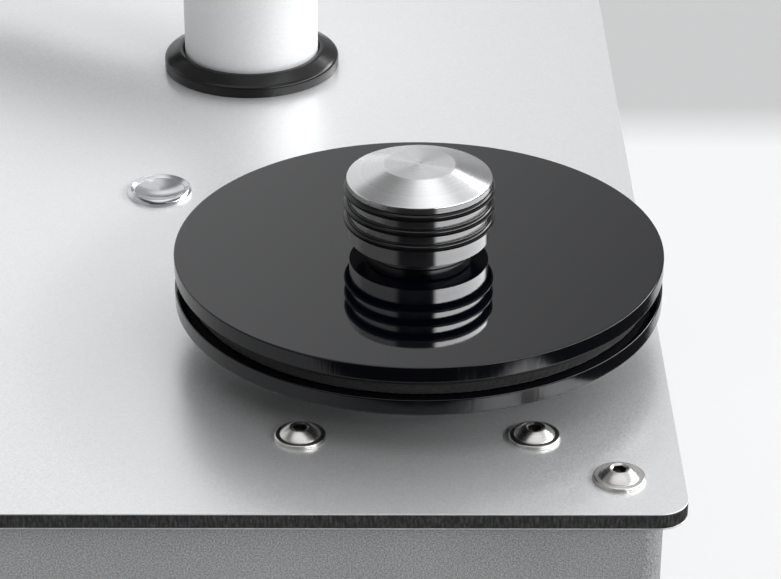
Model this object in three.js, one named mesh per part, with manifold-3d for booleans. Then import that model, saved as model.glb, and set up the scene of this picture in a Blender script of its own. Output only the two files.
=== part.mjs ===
// Record cleaning machine: a compact wet-wash and vacuum machine for vinyl records.
// A label-sized platter turns the record, a screw clamp seals its label, and a hollow swing arm
// sucks the fluid off into a tank inside the housing.
// Millimetres, +Z up, +Y towards the back. The origin is under the middle of the whole machine.
import * as THREE from "three";
import { mergeVertices } from "three/addons/utils/BufferGeometryUtils.js";
import Module from "manifold-3d";

const wasm = await Module();
wasm.setup();

// Driving dimensions

const bondGap = 0.02; // glue line or metal-to-metal seat between flat faces that do not move
const fitGap = 0.3; // clearance round a shank, tube or plug in its hole
const runGap = 0.2; // clearance between flat faces that move past each other
const overrun = 5; // how far a cutting tool runs past the material

const panel = { width: 240, depth: 335, corner: 7, skin: 0.3, core: 3.4, top: 150 };
const shell = { inset: 5, wall: 1.5, corner: 5, topFlange: 18, bottomFlange: 22 };
const floorPlate = { thickness: 2 };
const foot = {
  height: 12, topRadius: 13, baseRadius: 11, edge: 1.2, inset: 16, recessRadius: 5, recessDepth: 6,
};

const platterAxis = { fromRight: 60, fromFront: 83.5 };
const columnAxis = { fromSpindleX: -48.5, fromBack: 84.5 };
const buttonRow = { fromSpindleX: -70, fromSpindleY: 78.4, fromLeft: 50 };

const screw = {
  inset: 15, shankRadius: 2.5, shankLength: 10, washerRadius: 6.15, washerThickness: 0.4,
  flangeRadius: 6.05, flangeThickness: 0.6, flangeLip: 0.25, domeRadius: 4.7, domeHeight: 1.9,
  topRadius: 2.42, socketAcrossFlats: 3, socketDepth: 1.5,
};

const bracket = {
  thickness: 3, margin: 7, screwSpacingX: 54.6, screwSpacingY: 100.8, shift: -0.7, corner: 4,
};
const gearbox = { radius: 31, height: 28, edge: 1.5, shaftDepth: 15 };
const driveMotor = { radius: 18.5, height: 52, endRadius: 6, endHeight: 4 };
const bush = { radius: 11, flangeRadius: 14, flangeThickness: 1.5 };
const spindle = {
  radius: 5, recordPinRadius: 3.55, recordPinLength: 6.5, threadRadius: 3, threadLength: 12.5, tip: 0.8,
};
const hub = { flangeRadius: 25, flangeThickness: 3, bossRadius: 11, bossGap: 1 };

const platter = { radius: 60, thickness: 4, edge: 0.3, underGap: 11.5 };
const mat = { radius: 57.4, thickness: 2.8, boreRadius: 6.5 };
const clampDisc = { thickness: 4, boreRadius: 4.2 };
const clampSeal = { thickness: 1.5, width: 9.4 };
const collar = { radius: 13, height: 2.9, edge: 0.3 };
const knob = {
  radius: 17.1, rimRadius: 17.7, rimHeight: 1.7, topRadius: 8.8, coneHeight: 3.35, edge: 0.4,
  firstRing: 5.2, ringPitch: 4, ringCount: 3, grooveWidth: 1.8, grooveDepth: 0.6, rimLip: 1.05,
};
const gripRing = { section: 0.95, seat: 0.05 };
const insert = { radius: 6, length: 14 };

const gland = {
  ringRadius: 26.2, rimHeight: 2.9, height: 5.5, lipWidth: 1.2, neckRadius: 24, neckLength: 18,
};
const sleeve = { wall: 1.4, keyWidth: 2.4, keyDepth: 0.6, underLip: 2.2 };
const column = { radius: 20, wall: 2, below: 38, above: 42, grooveWidth: 3.2, grooveDepth: 1.1 };
const columnCap = { thickness: 2, spigot: 6, edge: 0.5 };
const beam = {
  width: 24, height: 16, wall: 1.5, corner: 2.5, fromLabel: 62.9, intoColumn: 3, slotWidth: 3, slotEnd: 3,
  overPlatter: 21.5,
};
const beamPlug = { thickness: 1.5, spigot: 5 };
const felt = { width: 5, thickness: 1.5, slotSide: 0.5, endMargin: 2 };
const elbow = {
  wall: 3, floor: 4, outletDrop: 60, outletRadius: 14, outletBore: 11, outletReach: 28,
};

const tank = {
  height: 92, wall: 2.5, corner: 8, fromLeft: 2, fromBack: 4, fromElbow: 5, portRadius: 13, portBore: 10,
  portReach: 4, portMargin: 6,
};
const tankLid = { thickness: 4, lipHeight: 4 };
const airPort = { reach: 5, fromTop: 22 };
const hose = { wall: 2.5, bore: 11 };
const turbine = {
  radius: 46, stageHeight: 18, neckRadius: 40, neckHeight: 4, motorRadius: 34, motorLength: 52,
  fromLeft: 54, fromFront: 26, axisHeight: 66, inletRadius: 14, inletReach: 7, edge: 3,
};
const cradle = { width: 60, length: 30, side: 8 };
const board = {
  width: 48, depth: 92, thickness: 1.6, standoff: 6, standoffRadius: 3, fromRight: 26, fromBack: 40,
  coreWidth: 36, coreDepth: 40, coreHeight: 32, capRadius: 9, capHeight: 24,
};

const inlet = {
  width: 31, height: 56, flange: 2.5, bodyDepth: 24, bodyMargin: 2, corner: 3, fromRight: 50,
  centreHeight: 74, socketWidth: 23, socketHeight: 15.5, socketDepth: 16, socketDrop: 14, pinWidth: 2,
  pinHeight: 4, pinLength: 9, pinPitch: 7, rockerWidth: 13, rockerHeight: 20, rockerRise: 11, rockerDepth: 14,
};
const rocker = { thickness: 8, tilt: 8, crown: 2, proud: 0.8 };
const drain = {
  fromLeft: 62, height: 34, pipeRadius: 6, barrelRadius: 8.5, barrelHeight: 18, boreRadius: 4, standOff: 13,
  nozzleRadius: 6, barbRadius: 7, barbLength: 4, nozzleLength: 17, nutRadius: 11, nutThickness: 3.5,
  intoTank: 7,
};
const drainLever = { length: 26, width: 8, thickness: 3, hubRadius: 6.5, stemRadius: 3, stemLength: 5 };
const levelTube = {
  radius: 4, bore: 2.5, fromLeft: 26, aboveTankFloor: 14.5, belowTankTop: 11.5, standOff: 5.5, intoTank: 7,
  bendRadius: 5,
};
const vent = { count: 8, pitch: 7, width: 3, length: 44, fromFront: 78, centreHeight: 66 };

const button = {
  bezelRadius: 8.9, bezelHeight: 1.7, bezelEdge: 0.7, bezelLip: 1.6, neckRadius: 7.9, depth: 20,
  capRadius: 6.6, dish: 1.1, proud: 0.9, plungerDepth: 16,
};

const parkedAngle = THREE.MathUtils.degToRad(147.3); // the arm points at the rear left corner when parked

// Side counts of round pieces
const sides = {
  discCount: 40, knobCount: 28, ringCount: 20, ringSectionCount: 6, columnCount: 24, buttonCount: 18,
  postCount: 14, screwCount: 10, socketCount: 6, holeCount: 6, hoseCount: 8, hoseStepCount: 6,
  tubeCount: 6, tubeStepCount: 18, panelCornerCount: 7, shellCornerCount: 5, smallCornerCount: 3,
};

// Levels and places worked out from the sizes above

const level = {
  panelTop: panel.top,
  coreTop: panel.top - panel.skin - bondGap,
  coreBottom: panel.top - panel.skin - bondGap - panel.core,
  panelBottom: panel.top - 2 * (panel.skin + bondGap) - panel.core,
  floorTop: foot.height + floorPlate.thickness,
};
level.shellTop = level.panelBottom - bondGap;
level.shellBottom = level.floorTop + bondGap;
level.inside = level.shellBottom + shell.wall + bondGap;
level.discBottom = level.panelTop + platter.underGap;
level.discTop = level.discBottom + platter.thickness;
level.matBottom = level.discTop + bondGap;
level.matTop = level.matBottom + mat.thickness;
level.sealBottom = level.matTop + runGap;
level.clampBottom = level.sealBottom + clampSeal.thickness + bondGap;
level.clampTop = level.clampBottom + clampDisc.thickness;
level.collarBottom = level.clampTop + bondGap;
level.knobBottom = level.collarBottom + collar.height + runGap;

const half = {
  width: panel.width / 2,
  depth: panel.depth / 2,
  shellWidth: panel.width / 2 - shell.inset,
  shellDepth: panel.depth / 2 - shell.inset,
};
const spindleAt = { x: half.width - platterAxis.fromRight, y: platterAxis.fromFront - half.depth };
const columnAt = { x: spindleAt.x + columnAxis.fromSpindleX, y: half.depth - columnAxis.fromBack };
const bracketAt = { x: spindleAt.x + bracket.shift, y: spindleAt.y };
const buttonsAt = [spindleAt.x + buttonRow.fromSpindleX, buttonRow.fromLeft - half.width].map((x) => ({
  x,
  y: spindleAt.y + buttonRow.fromSpindleY,
}));
const armLength = Math.hypot(columnAt.x - spindleAt.x, columnAt.y - spindleAt.y);
const corners = [[-1, -1], [1, -1], [-1, 1], [1, 1]];
const cornerNames = ["front_left", "front_right", "rear_left", "rear_right"];
const atCorners = (x, y) => corners.map(([sx, sy]) => ({ x: sx * x, y: sy * y }));
const panelScrewsAt = atCorners(half.width - screw.inset, half.depth - screw.inset);
const driveScrewsAt = corners.map(([sx, sy]) => ({
  x: bracketAt.x + (sx * bracket.screwSpacingX) / 2,
  y: bracketAt.y + (sy * bracket.screwSpacingY) / 2,
}));
const feetAt = atCorners(half.shellWidth - foot.inset, half.shellDepth - foot.inset);

/** The corner radius of a hole with this many sides, whose flats clear a round piece of the given radius. */
const clearRound = (radius, count) => (radius + fitGap) / Math.cos(Math.PI / count);

const holeRadius = {
  screw: clearRound(screw.shankRadius, sides.holeCount),
  bush: clearRound(bush.radius, sides.screwCount),
  gland: clearRound(gland.neckRadius, sides.postCount),
  button: clearRound(button.neckRadius, sides.screwCount),
};

// Materials, by what the eye sees

const finish = (color, roughness, metalness, extra = {}) =>
  new THREE.MeshStandardMaterial({ color, roughness, metalness, ...extra });
const silverCoat = finish(0xc3c6c8, 0.42, 0.55);
const greyCoat = finish(0x8f9193, 0.55, 0.35);
const blackCore = finish(0x242527, 0.7, 0);
const blackAcrylic = finish(0x0b0b0d, 0.06, 0);
const blackFoam = finish(0x1c1c1e, 0.95, 0);
const blackRubber = finish(0x141416, 0.4, 0);
const turnedAluminium = finish(0xcfd0d0, 0.28, 0.95);
const stainless = finish(0xc6c5c0, 0.25, 1);
const steel = finish(0x9a9b9c, 0.35, 1);
const brass = finish(0xb9965a, 0.35, 1);
const blackPlastic = finish(0x202124, 0.5, 0);
const greyPlastic = finish(0x8a8c8e, 0.6, 0);
const clearPlastic = finish(0xd5dde0, 0.15, 0, { transparent: true, opacity: 0.45 });
const whiteTank = finish(0xe4e4df, 0.5, 0);
const circuitGreen = finish(0x2c5a3c, 0.6, 0);

// Shape helpers

const mergeTolerance = 1e-4;

/** A closed geometry as a manifold-3d solid, with its shared vertices merged. */
function solidOf(geometry) {
  const bare = new THREE.BufferGeometry().setAttribute("position", geometry.getAttribute("position").clone());
  if (geometry.index) bare.setIndex(geometry.index.clone());
  const merged = mergeVertices(bare, mergeTolerance);
  return new wasm.Manifold(
    new wasm.Mesh({
      numProp: 3,
      vertProperties: merged.attributes.position.array,
      triVerts: new Uint32Array(merged.index.array),
    }),
  );
}

/** A manifold-3d solid as a flat-shaded BufferGeometry. */
function geometryOf(solid) {
  const mesh = solid.getMesh();
  const places = new Float32Array(mesh.numVert * 3);
  for (let i = 0; i < mesh.numVert; i++) {
    places.set(mesh.vertProperties.subarray(i * mesh.numProp, i * mesh.numProp + 3), i * 3);
  }
  const indexed = new THREE.BufferGeometry();
  indexed.setAttribute("position", new THREE.BufferAttribute(places, 3));
  indexed.setIndex(new THREE.BufferAttribute(mesh.triVerts, 1));
  const flat = indexed.toNonIndexed();
  flat.computeVertexNormals();
  return flat;
}

/** A body with each tool cut out of it. */
const cut = (body, ...tools) =>
  geometryOf(tools.reduce((solid, tool) => solid.subtract(solidOf(tool)), solidOf(body)));

/** Several overlapping bodies as one. */
const join = (body, ...others) =>
  geometryOf(others.reduce((solid, other) => solid.add(solidOf(other)), solidOf(body)));

/** Turns a closed profile of [radius, height] points about the Z axis. */
function revolve(profile, count) {
  const area = profile.reduce((sum, [r, z], i) => {
    const [nextR, nextZ] = profile[(i + 1) % profile.length];
    return sum + r * nextZ - nextR * z;
  }, 0);
  const ordered = area < 0 ? [...profile].reverse() : [...profile];
  const isOnAxis = (i) => ordered[i % ordered.length][0] === 0;
  const axisSide = ordered.findIndex((_, i) => isOnAxis(i) && isOnAxis(i + 1));
  const opened = [...ordered.slice(axisSide + 1), ...ordered.slice(0, axisSide + 1)];
  const loop = axisSide < 0 ? [...ordered, ordered[0]] : opened;
  const points = loop.map(([r, z]) => new THREE.Vector2(r, z));
  return new THREE.LatheGeometry(points, count).rotateX(Math.PI / 2);
}

/** A round post between two heights. */
const post = (radius, low, high, count) =>
  revolve([[0, low], [radius, low], [radius, high], [0, high]], count);

/** A round tube between two heights. */
const ringOf = (outer, inner, low, high, count) =>
  revolve([[inner, low], [outer, low], [outer, high], [inner, high]], count);

/** A rectangle with round corners, centred on the origin, as an outline for THREE.Shape or THREE.Path. */
function roundedOutline(Kind, width, depth, radius, x = 0, y = 0) {
  const right = width / 2 - radius;
  const back = depth / 2 - radius;
  const outline = new Kind();
  outline.absarc(x + right, y + back, radius, 0, Math.PI / 2, false);
  outline.absarc(x - right, y + back, radius, Math.PI / 2, Math.PI, false);
  outline.absarc(x - right, y - back, radius, Math.PI, 1.5 * Math.PI, false);
  outline.absarc(x + right, y - back, radius, 1.5 * Math.PI, 2 * Math.PI, false);
  outline.closePath();
  return outline;
}

/** A round hole with its own number of sides. */
function holePath(x, y, radius, count) {
  const path = new THREE.Path();
  for (let i = 0; i <= count; i++) {
    const angle = (-2 * Math.PI * i) / count;
    const [px, py] = [x + radius * Math.cos(angle), y + radius * Math.sin(angle)];
    if (i === 0) path.moveTo(px, py);
    else if (i < count) path.lineTo(px, py);
  }
  path.closePath();
  return path;
}

/** An outline given a thickness, from height low to height high. */
function slab(shape, low, high, cornerSteps = sides.smallCornerCount) {
  const options = { depth: high - low, bevelEnabled: false, curveSegments: cornerSteps };
  return new THREE.ExtrudeGeometry(shape, options).translate(0, 0, low);
}

/** A box between two corners. */
function block([x0, y0, z0], [x1, y1, z1]) {
  const box = new THREE.BoxGeometry(x1 - x0, y1 - y0, z1 - z0);
  return box.translate((x0 + x1) / 2, (y0 + y1) / 2, (z0 + z1) / 2);
}

/** A hollow round tube along a curve, with open bore and flat ends. */
function pipe(curve, outer, bore, steps, count) {
  const section = new THREE.Shape();
  for (let i = 0; i < count; i++) {
    const angle = (2 * Math.PI * i) / count;
    const point = [outer * Math.cos(angle), outer * Math.sin(angle)];
    if (i === 0) section.moveTo(...point);
    else section.lineTo(...point);
  }
  section.closePath();
  section.holes.push(holePath(0, 0, bore, count));
  return new THREE.ExtrudeGeometry(section, { steps, bevelEnabled: false, extrudePath: curve });
}

// Round cutters and stubs laid along an axis, from a low to a high place on it
const alongX = (geometry) => geometry.rotateX(Math.PI / 2).rotateZ(Math.PI / 2);
const alongY = (geometry) => geometry.rotateX(-Math.PI / 2);

const machine = new THREE.Group();

/** Adds one named piece to a group and gives the mesh back. */
function add(group, name, geometry, material, x = 0, y = 0, z = 0) {
  const mesh = new THREE.Mesh(geometry, material);
  mesh.name = name;
  mesh.position.set(x, y, z);
  group.add(mesh);
  return mesh;
}

// Housing: folded shell, floor plate and feet

function buildHousing() {
  const width = 2 * half.shellWidth;
  const depth = 2 * half.shellDepth;
  const ringShape = (border, cornerRadius) => {
    const shape = roundedOutline(THREE.Shape, width, depth, shell.corner);
    shape.holes.push(roundedOutline(THREE.Path, width - 2 * border, depth - 2 * border, cornerRadius));
    return shape;
  };
  const inner = shell.corner - shell.wall;
  const layer = (shape, low, high) => slab(shape, low, high, sides.shellCornerCount);
  const walls = layer(ringShape(shell.wall, inner), level.shellBottom, level.shellTop);
  const topRim = ringShape(shell.topFlange, shell.corner);
  for (const at of panelScrewsAt) topRim.holes.push(holePath(at.x, at.y, holeRadius.screw, sides.holeCount));
  const topFlange = layer(topRim, level.shellTop - shell.wall, level.shellTop);
  const lowRim = ringShape(shell.bottomFlange, shell.corner);
  const lowFlange = layer(lowRim, level.shellBottom, level.shellBottom + shell.wall);

  const leftWall = -half.shellWidth;
  const slots = Array.from({ length: vent.count }, (_, i) => {
    const y = -half.depth + vent.fromFront + (i - (vent.count - 1) / 2) * vent.pitch;
    return block(
      [leftWall - overrun, y - vent.width / 2, vent.centreHeight - vent.length / 2],
      [leftWall + overrun, y + vent.width / 2, vent.centreHeight + vent.length / 2],
    );
  });
  const back = half.shellDepth;
  const inletX = half.width - inlet.fromRight;
  const bodyHalfWidth = inlet.width / 2 - inlet.bodyMargin + fitGap;
  const bodyHalfHeight = inlet.height / 2 - inlet.bodyMargin + fitGap;
  const inletHole = block(
    [inletX - bodyHalfWidth, back - overrun, inlet.centreHeight - bodyHalfHeight],
    [inletX + bodyHalfWidth, back + overrun, inlet.centreHeight + bodyHalfHeight],
  );
  const throughBack = (radius, x, z) => {
    const hole = post(clearRound(radius, sides.holeCount), -overrun, overrun, sides.holeCount);
    return alongY(hole).translate(x, back, z);
  };
  const drainHole = throughBack(drain.pipeRadius, -half.width + drain.fromLeft, drain.height);
  const tubeX = -half.width + levelTube.fromLeft;
  const tubeHoles = tubeEnds.map((z) => throughBack(levelTube.radius, tubeX, z));
  const whole = join(walls, topFlange, lowFlange);
  add(machine, "housing_shell", cut(whole, ...slots, inletHole, drainHole, ...tubeHoles), greyCoat);

  const floor = roundedOutline(THREE.Shape, width, depth, shell.corner);
  add(machine, "floor_plate", layer(floor, foot.height, level.floorTop), greyCoat);

  const footTop = foot.height - bondGap;
  feetAt.forEach((at, i) => {
    const profile = [
      [0, foot.recessDepth],
      [foot.recessRadius, foot.recessDepth],
      [foot.recessRadius, 0],
      [foot.baseRadius - foot.edge, 0],
      [foot.baseRadius, foot.edge],
      [foot.topRadius, footTop],
      [0, footTop],
    ];
    add(machine, "foot_" + cornerNames[i], revolve(profile, sides.postCount), blackRubber, at.x, at.y);
  });
}

// Top panel: two thin skins on a black core

function buildPanel() {
  const layer = (name, low, high, material) => {
    const shape = roundedOutline(THREE.Shape, panel.width, panel.depth, panel.corner);
    for (const at of [...panelScrewsAt, ...driveScrewsAt]) {
      shape.holes.push(holePath(at.x, at.y, holeRadius.screw, sides.holeCount));
    }
    for (const at of buttonsAt) shape.holes.push(holePath(at.x, at.y, holeRadius.button, sides.screwCount));
    shape.holes.push(holePath(spindleAt.x, spindleAt.y, holeRadius.bush, sides.screwCount));
    shape.holes.push(holePath(columnAt.x, columnAt.y, holeRadius.gland, sides.postCount));
    add(machine, name, slab(shape, low, high, sides.panelCornerCount), material);
  };
  layer("top_panel_skin", level.panelTop - panel.skin, level.panelTop, silverCoat);
  layer("top_panel_core", level.coreBottom, level.coreTop, blackCore);
  layer("top_panel_backing", level.panelBottom, level.panelBottom + panel.skin, silverCoat);
}

// Flange button screws with a washer under the head and a hexagon socket

function screwGeometry() {
  const washerTop = screw.washerThickness;
  const flangeTop = washerTop + screw.flangeThickness;
  const headTop = flangeTop + screw.domeHeight;
  const waistShare = 0.56; // height of the slope half way from the flange to the top
  const waistRing = [
    (screw.topRadius + screw.domeRadius) / 2,
    flangeTop + screw.domeHeight * waistShare,
  ];
  const profile = [
    [0, -screw.shankLength],
    [screw.shankRadius, -screw.shankLength],
    [screw.shankRadius, bondGap],
    [screw.washerRadius, bondGap],
    [screw.washerRadius, washerTop],
    [screw.flangeRadius, washerTop],
    [screw.flangeRadius - screw.flangeLip, flangeTop],
    [screw.domeRadius, flangeTop],
    waistRing,
    [screw.topRadius, headTop],
    [0, headTop],
  ];
  const socketRadius = screw.socketAcrossFlats / 2 / Math.cos(Math.PI / sides.socketCount);
  const socket = post(socketRadius, headTop - screw.socketDepth, headTop + overrun, sides.socketCount);
  return cut(revolve(profile, sides.screwCount), socket);
}

function buildFasteners() {
  const geometry = screwGeometry();
  const screwsIn = (stem, places) =>
    places.forEach(({ x, y }, i) => {
      add(machine, stem + cornerNames[i], geometry, stainless, x, y, level.panelTop);
    });
  screwsIn("panel_screw_", panelScrewsAt);
  screwsIn("drive_screw_", driveScrewsAt);
}

// Drive: bracket under the panel, gearbox and motor, bearing bush

function buildDrive() {
  const bracketTop = level.panelBottom - bondGap;
  const bracketBottom = bracketTop - bracket.thickness;
  const width = bracket.screwSpacingX + 2 * bracket.margin;
  const depth = bracket.screwSpacingY + 2 * bracket.margin;
  const plate = roundedOutline(THREE.Shape, width, depth, bracket.corner, bracketAt.x, bracketAt.y);
  for (const at of driveScrewsAt) plate.holes.push(holePath(at.x, at.y, holeRadius.screw, sides.holeCount));
  plate.holes.push(holePath(spindleAt.x, spindleAt.y, holeRadius.bush, sides.screwCount));
  add(machine, "drive_bracket", slab(plate, bracketBottom, bracketTop), steel);

  const gearTop = bracketBottom - bondGap;
  const gearBottom = gearTop - gearbox.height;
  const shaftBore = spindle.radius + fitGap;
  const gearProfile = [
    [0, gearBottom],
    [gearbox.radius - gearbox.edge, gearBottom],
    [gearbox.radius, gearBottom + gearbox.edge],
    [gearbox.radius, gearTop],
    [shaftBore, gearTop],
    [shaftBore, gearTop - gearbox.shaftDepth],
    [0, gearTop - gearbox.shaftDepth],
  ];
  add(machine, "gearbox", revolve(gearProfile, sides.postCount), greyPlastic, spindleAt.x, spindleAt.y);

  const motorTop = gearBottom - bondGap;
  const canBottom = motorTop - driveMotor.height;
  const motorProfile = [
    [0, canBottom - driveMotor.endHeight],
    [driveMotor.endRadius, canBottom - driveMotor.endHeight],
    [driveMotor.endRadius, canBottom],
    [driveMotor.radius, canBottom],
    [driveMotor.radius, motorTop],
    [0, motorTop],
  ];
  add(machine, "drive_motor", revolve(motorProfile, sides.postCount), steel, spindleAt.x, spindleAt.y);

  const bushBore = spindle.radius + fitGap;
  const bushProfile = [
    [bushBore, bracketBottom],
    [bush.radius, bracketBottom],
    [bush.radius, level.panelTop + bondGap],
    [bush.flangeRadius, level.panelTop + bondGap],
    [bush.flangeRadius, level.panelTop + bush.flangeThickness],
    [bushBore, level.panelTop + bush.flangeThickness],
  ];
  add(machine, "bearing_bush", revolve(bushProfile, sides.postCount), brass, spindleAt.x, spindleAt.y);
}

// Platter: spindle, hub, black disc and mat, all turning together

function buildPlatter() {
  const shaftBottom = level.panelBottom - 2 * bondGap - bracket.thickness - gearbox.shaftDepth + fitGap;
  const at = [spindleAt.x, spindleAt.y];
  const pinTop = level.discTop + spindle.recordPinLength;
  const tip = pinTop + spindle.threadLength;
  const spindleProfile = [
    [0, shaftBottom],
    [spindle.radius, shaftBottom],
    [spindle.radius, level.discTop],
    [spindle.recordPinRadius, level.discTop],
    [spindle.recordPinRadius, pinTop],
    [spindle.threadRadius, pinTop],
    [spindle.threadRadius, tip - spindle.tip],
    [spindle.threadRadius - spindle.tip, tip],
    [0, tip],
  ];
  add(machine, "spindle", revolve(spindleProfile, sides.postCount), steel, ...at);

  const bore = spindle.radius + fitGap;
  const flangeTop = level.discBottom - bondGap;
  const flangeBottom = flangeTop - hub.flangeThickness;
  const bossBottom = level.panelTop + bush.flangeThickness + hub.bossGap;
  const hubProfile = [
    [bore, bossBottom],
    [hub.bossRadius, bossBottom],
    [hub.bossRadius, flangeBottom],
    [hub.flangeRadius, flangeBottom],
    [hub.flangeRadius, flangeTop],
    [bore, flangeTop],
  ];
  add(machine, "platter_hub", revolve(hubProfile, sides.ringCount), turnedAluminium, ...at);

  add(machine, "platter_disc", discGeometry(bore, level.discBottom, level.discTop), blackAcrylic, ...at);
  const matRing = ringOf(mat.radius, mat.boreRadius, level.matBottom, level.matTop, sides.discCount);
  add(machine, "platter_mat", matRing, blackFoam, ...at);
}

/** An acrylic disc of the platter's radius, with both rims broken. */
function discGeometry(bore, low, high) {
  const rim = platter.radius - platter.edge;
  const profile = [
    [bore, low],
    [rim, low],
    [platter.radius, low + platter.edge],
    [platter.radius, high - platter.edge],
    [rim, high],
    [bore, high],
  ];
  return revolve(profile, sides.discCount);
}

// Screw clamp: sealed disc that rises, and the ringed knob that turns on the spindle's thread

function buildClamp() {
  const at = [spindleAt.x, spindleAt.y];
  const sealInner = mat.radius - clampSeal.width;
  const sealTop = level.sealBottom + clampSeal.thickness;
  const sealRing = ringOf(mat.radius, sealInner, level.sealBottom, sealTop, sides.discCount);
  add(machine, "clamp_seal", sealRing, blackFoam, ...at);
  const upperDisc = discGeometry(clampDisc.boreRadius, level.clampBottom, level.clampTop);
  add(machine, "clamp_disc", upperDisc, blackAcrylic, ...at);

  const collarTop = level.collarBottom + collar.height;
  const collarProfile = [
    [clampDisc.boreRadius, level.collarBottom],
    [collar.radius, level.collarBottom],
    [collar.radius, collarTop - collar.edge],
    [collar.radius - collar.edge, collarTop],
    [clampDisc.boreRadius, collarTop],
  ];
  add(machine, "clamp_collar", revolve(collarProfile, sides.ringCount), steel, ...at);

  const ringHeights = Array.from({ length: knob.ringCount }, (_, i) => knob.firstRing + i * knob.ringPitch);
  const lastRing = ringHeights[ringHeights.length - 1];
  const rimBottom = lastRing + knob.rimLip;
  const rimTop = rimBottom + knob.rimHeight;
  const grooveRadius = knob.radius - knob.grooveDepth;
  const insertBore = insert.radius + fitGap;
  const outline = [
    [insertBore, 0],
    [knob.radius - knob.edge, 0],
    [knob.radius, knob.edge],
  ];
  for (const height of ringHeights) {
    outline.push([knob.radius, height - knob.grooveWidth / 2], [grooveRadius, height - knob.grooveWidth / 2]);
    outline.push([grooveRadius, height + knob.grooveWidth / 2], [knob.radius, height + knob.grooveWidth / 2]);
  }
  outline.pop();
  outline.push(
    [knob.rimRadius, rimBottom],
    [knob.rimRadius, rimTop],
    [knob.topRadius, rimTop + knob.coneHeight],
    [0, rimTop + knob.coneHeight],
    [0, insert.length + fitGap],
    [insertBore, insert.length + fitGap],
  );
  add(machine, "clamp_knob", revolve(outline, sides.knobCount), turnedAluminium, ...at, level.knobBottom);

  const ringRadius = grooveRadius + gripRing.seat + gripRing.section;
  ringHeights.forEach((height, i) => {
    const section = Array.from({ length: sides.ringSectionCount }, (_, k) => {
      const angle = (2 * Math.PI * (k + 0.5)) / sides.ringSectionCount;
      return [ringRadius + gripRing.section * Math.cos(angle), height + gripRing.section * Math.sin(angle)];
    });
    const ring = revolve(section, sides.knobCount);
    add(machine, "grip_ring_" + (i + 1), ring, blackRubber, ...at, level.knobBottom);
  });

  const threadBore = spindle.threadRadius + fitGap;
  const threaded = ringOf(insert.radius, threadBore, runGap, insert.length, sides.postCount);
  add(machine, "thread_insert", threaded, brass, ...at, level.knobBottom);
}

// Suction arm: gland, turning sleeve, and the hollow column and beam that lift in it

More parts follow.
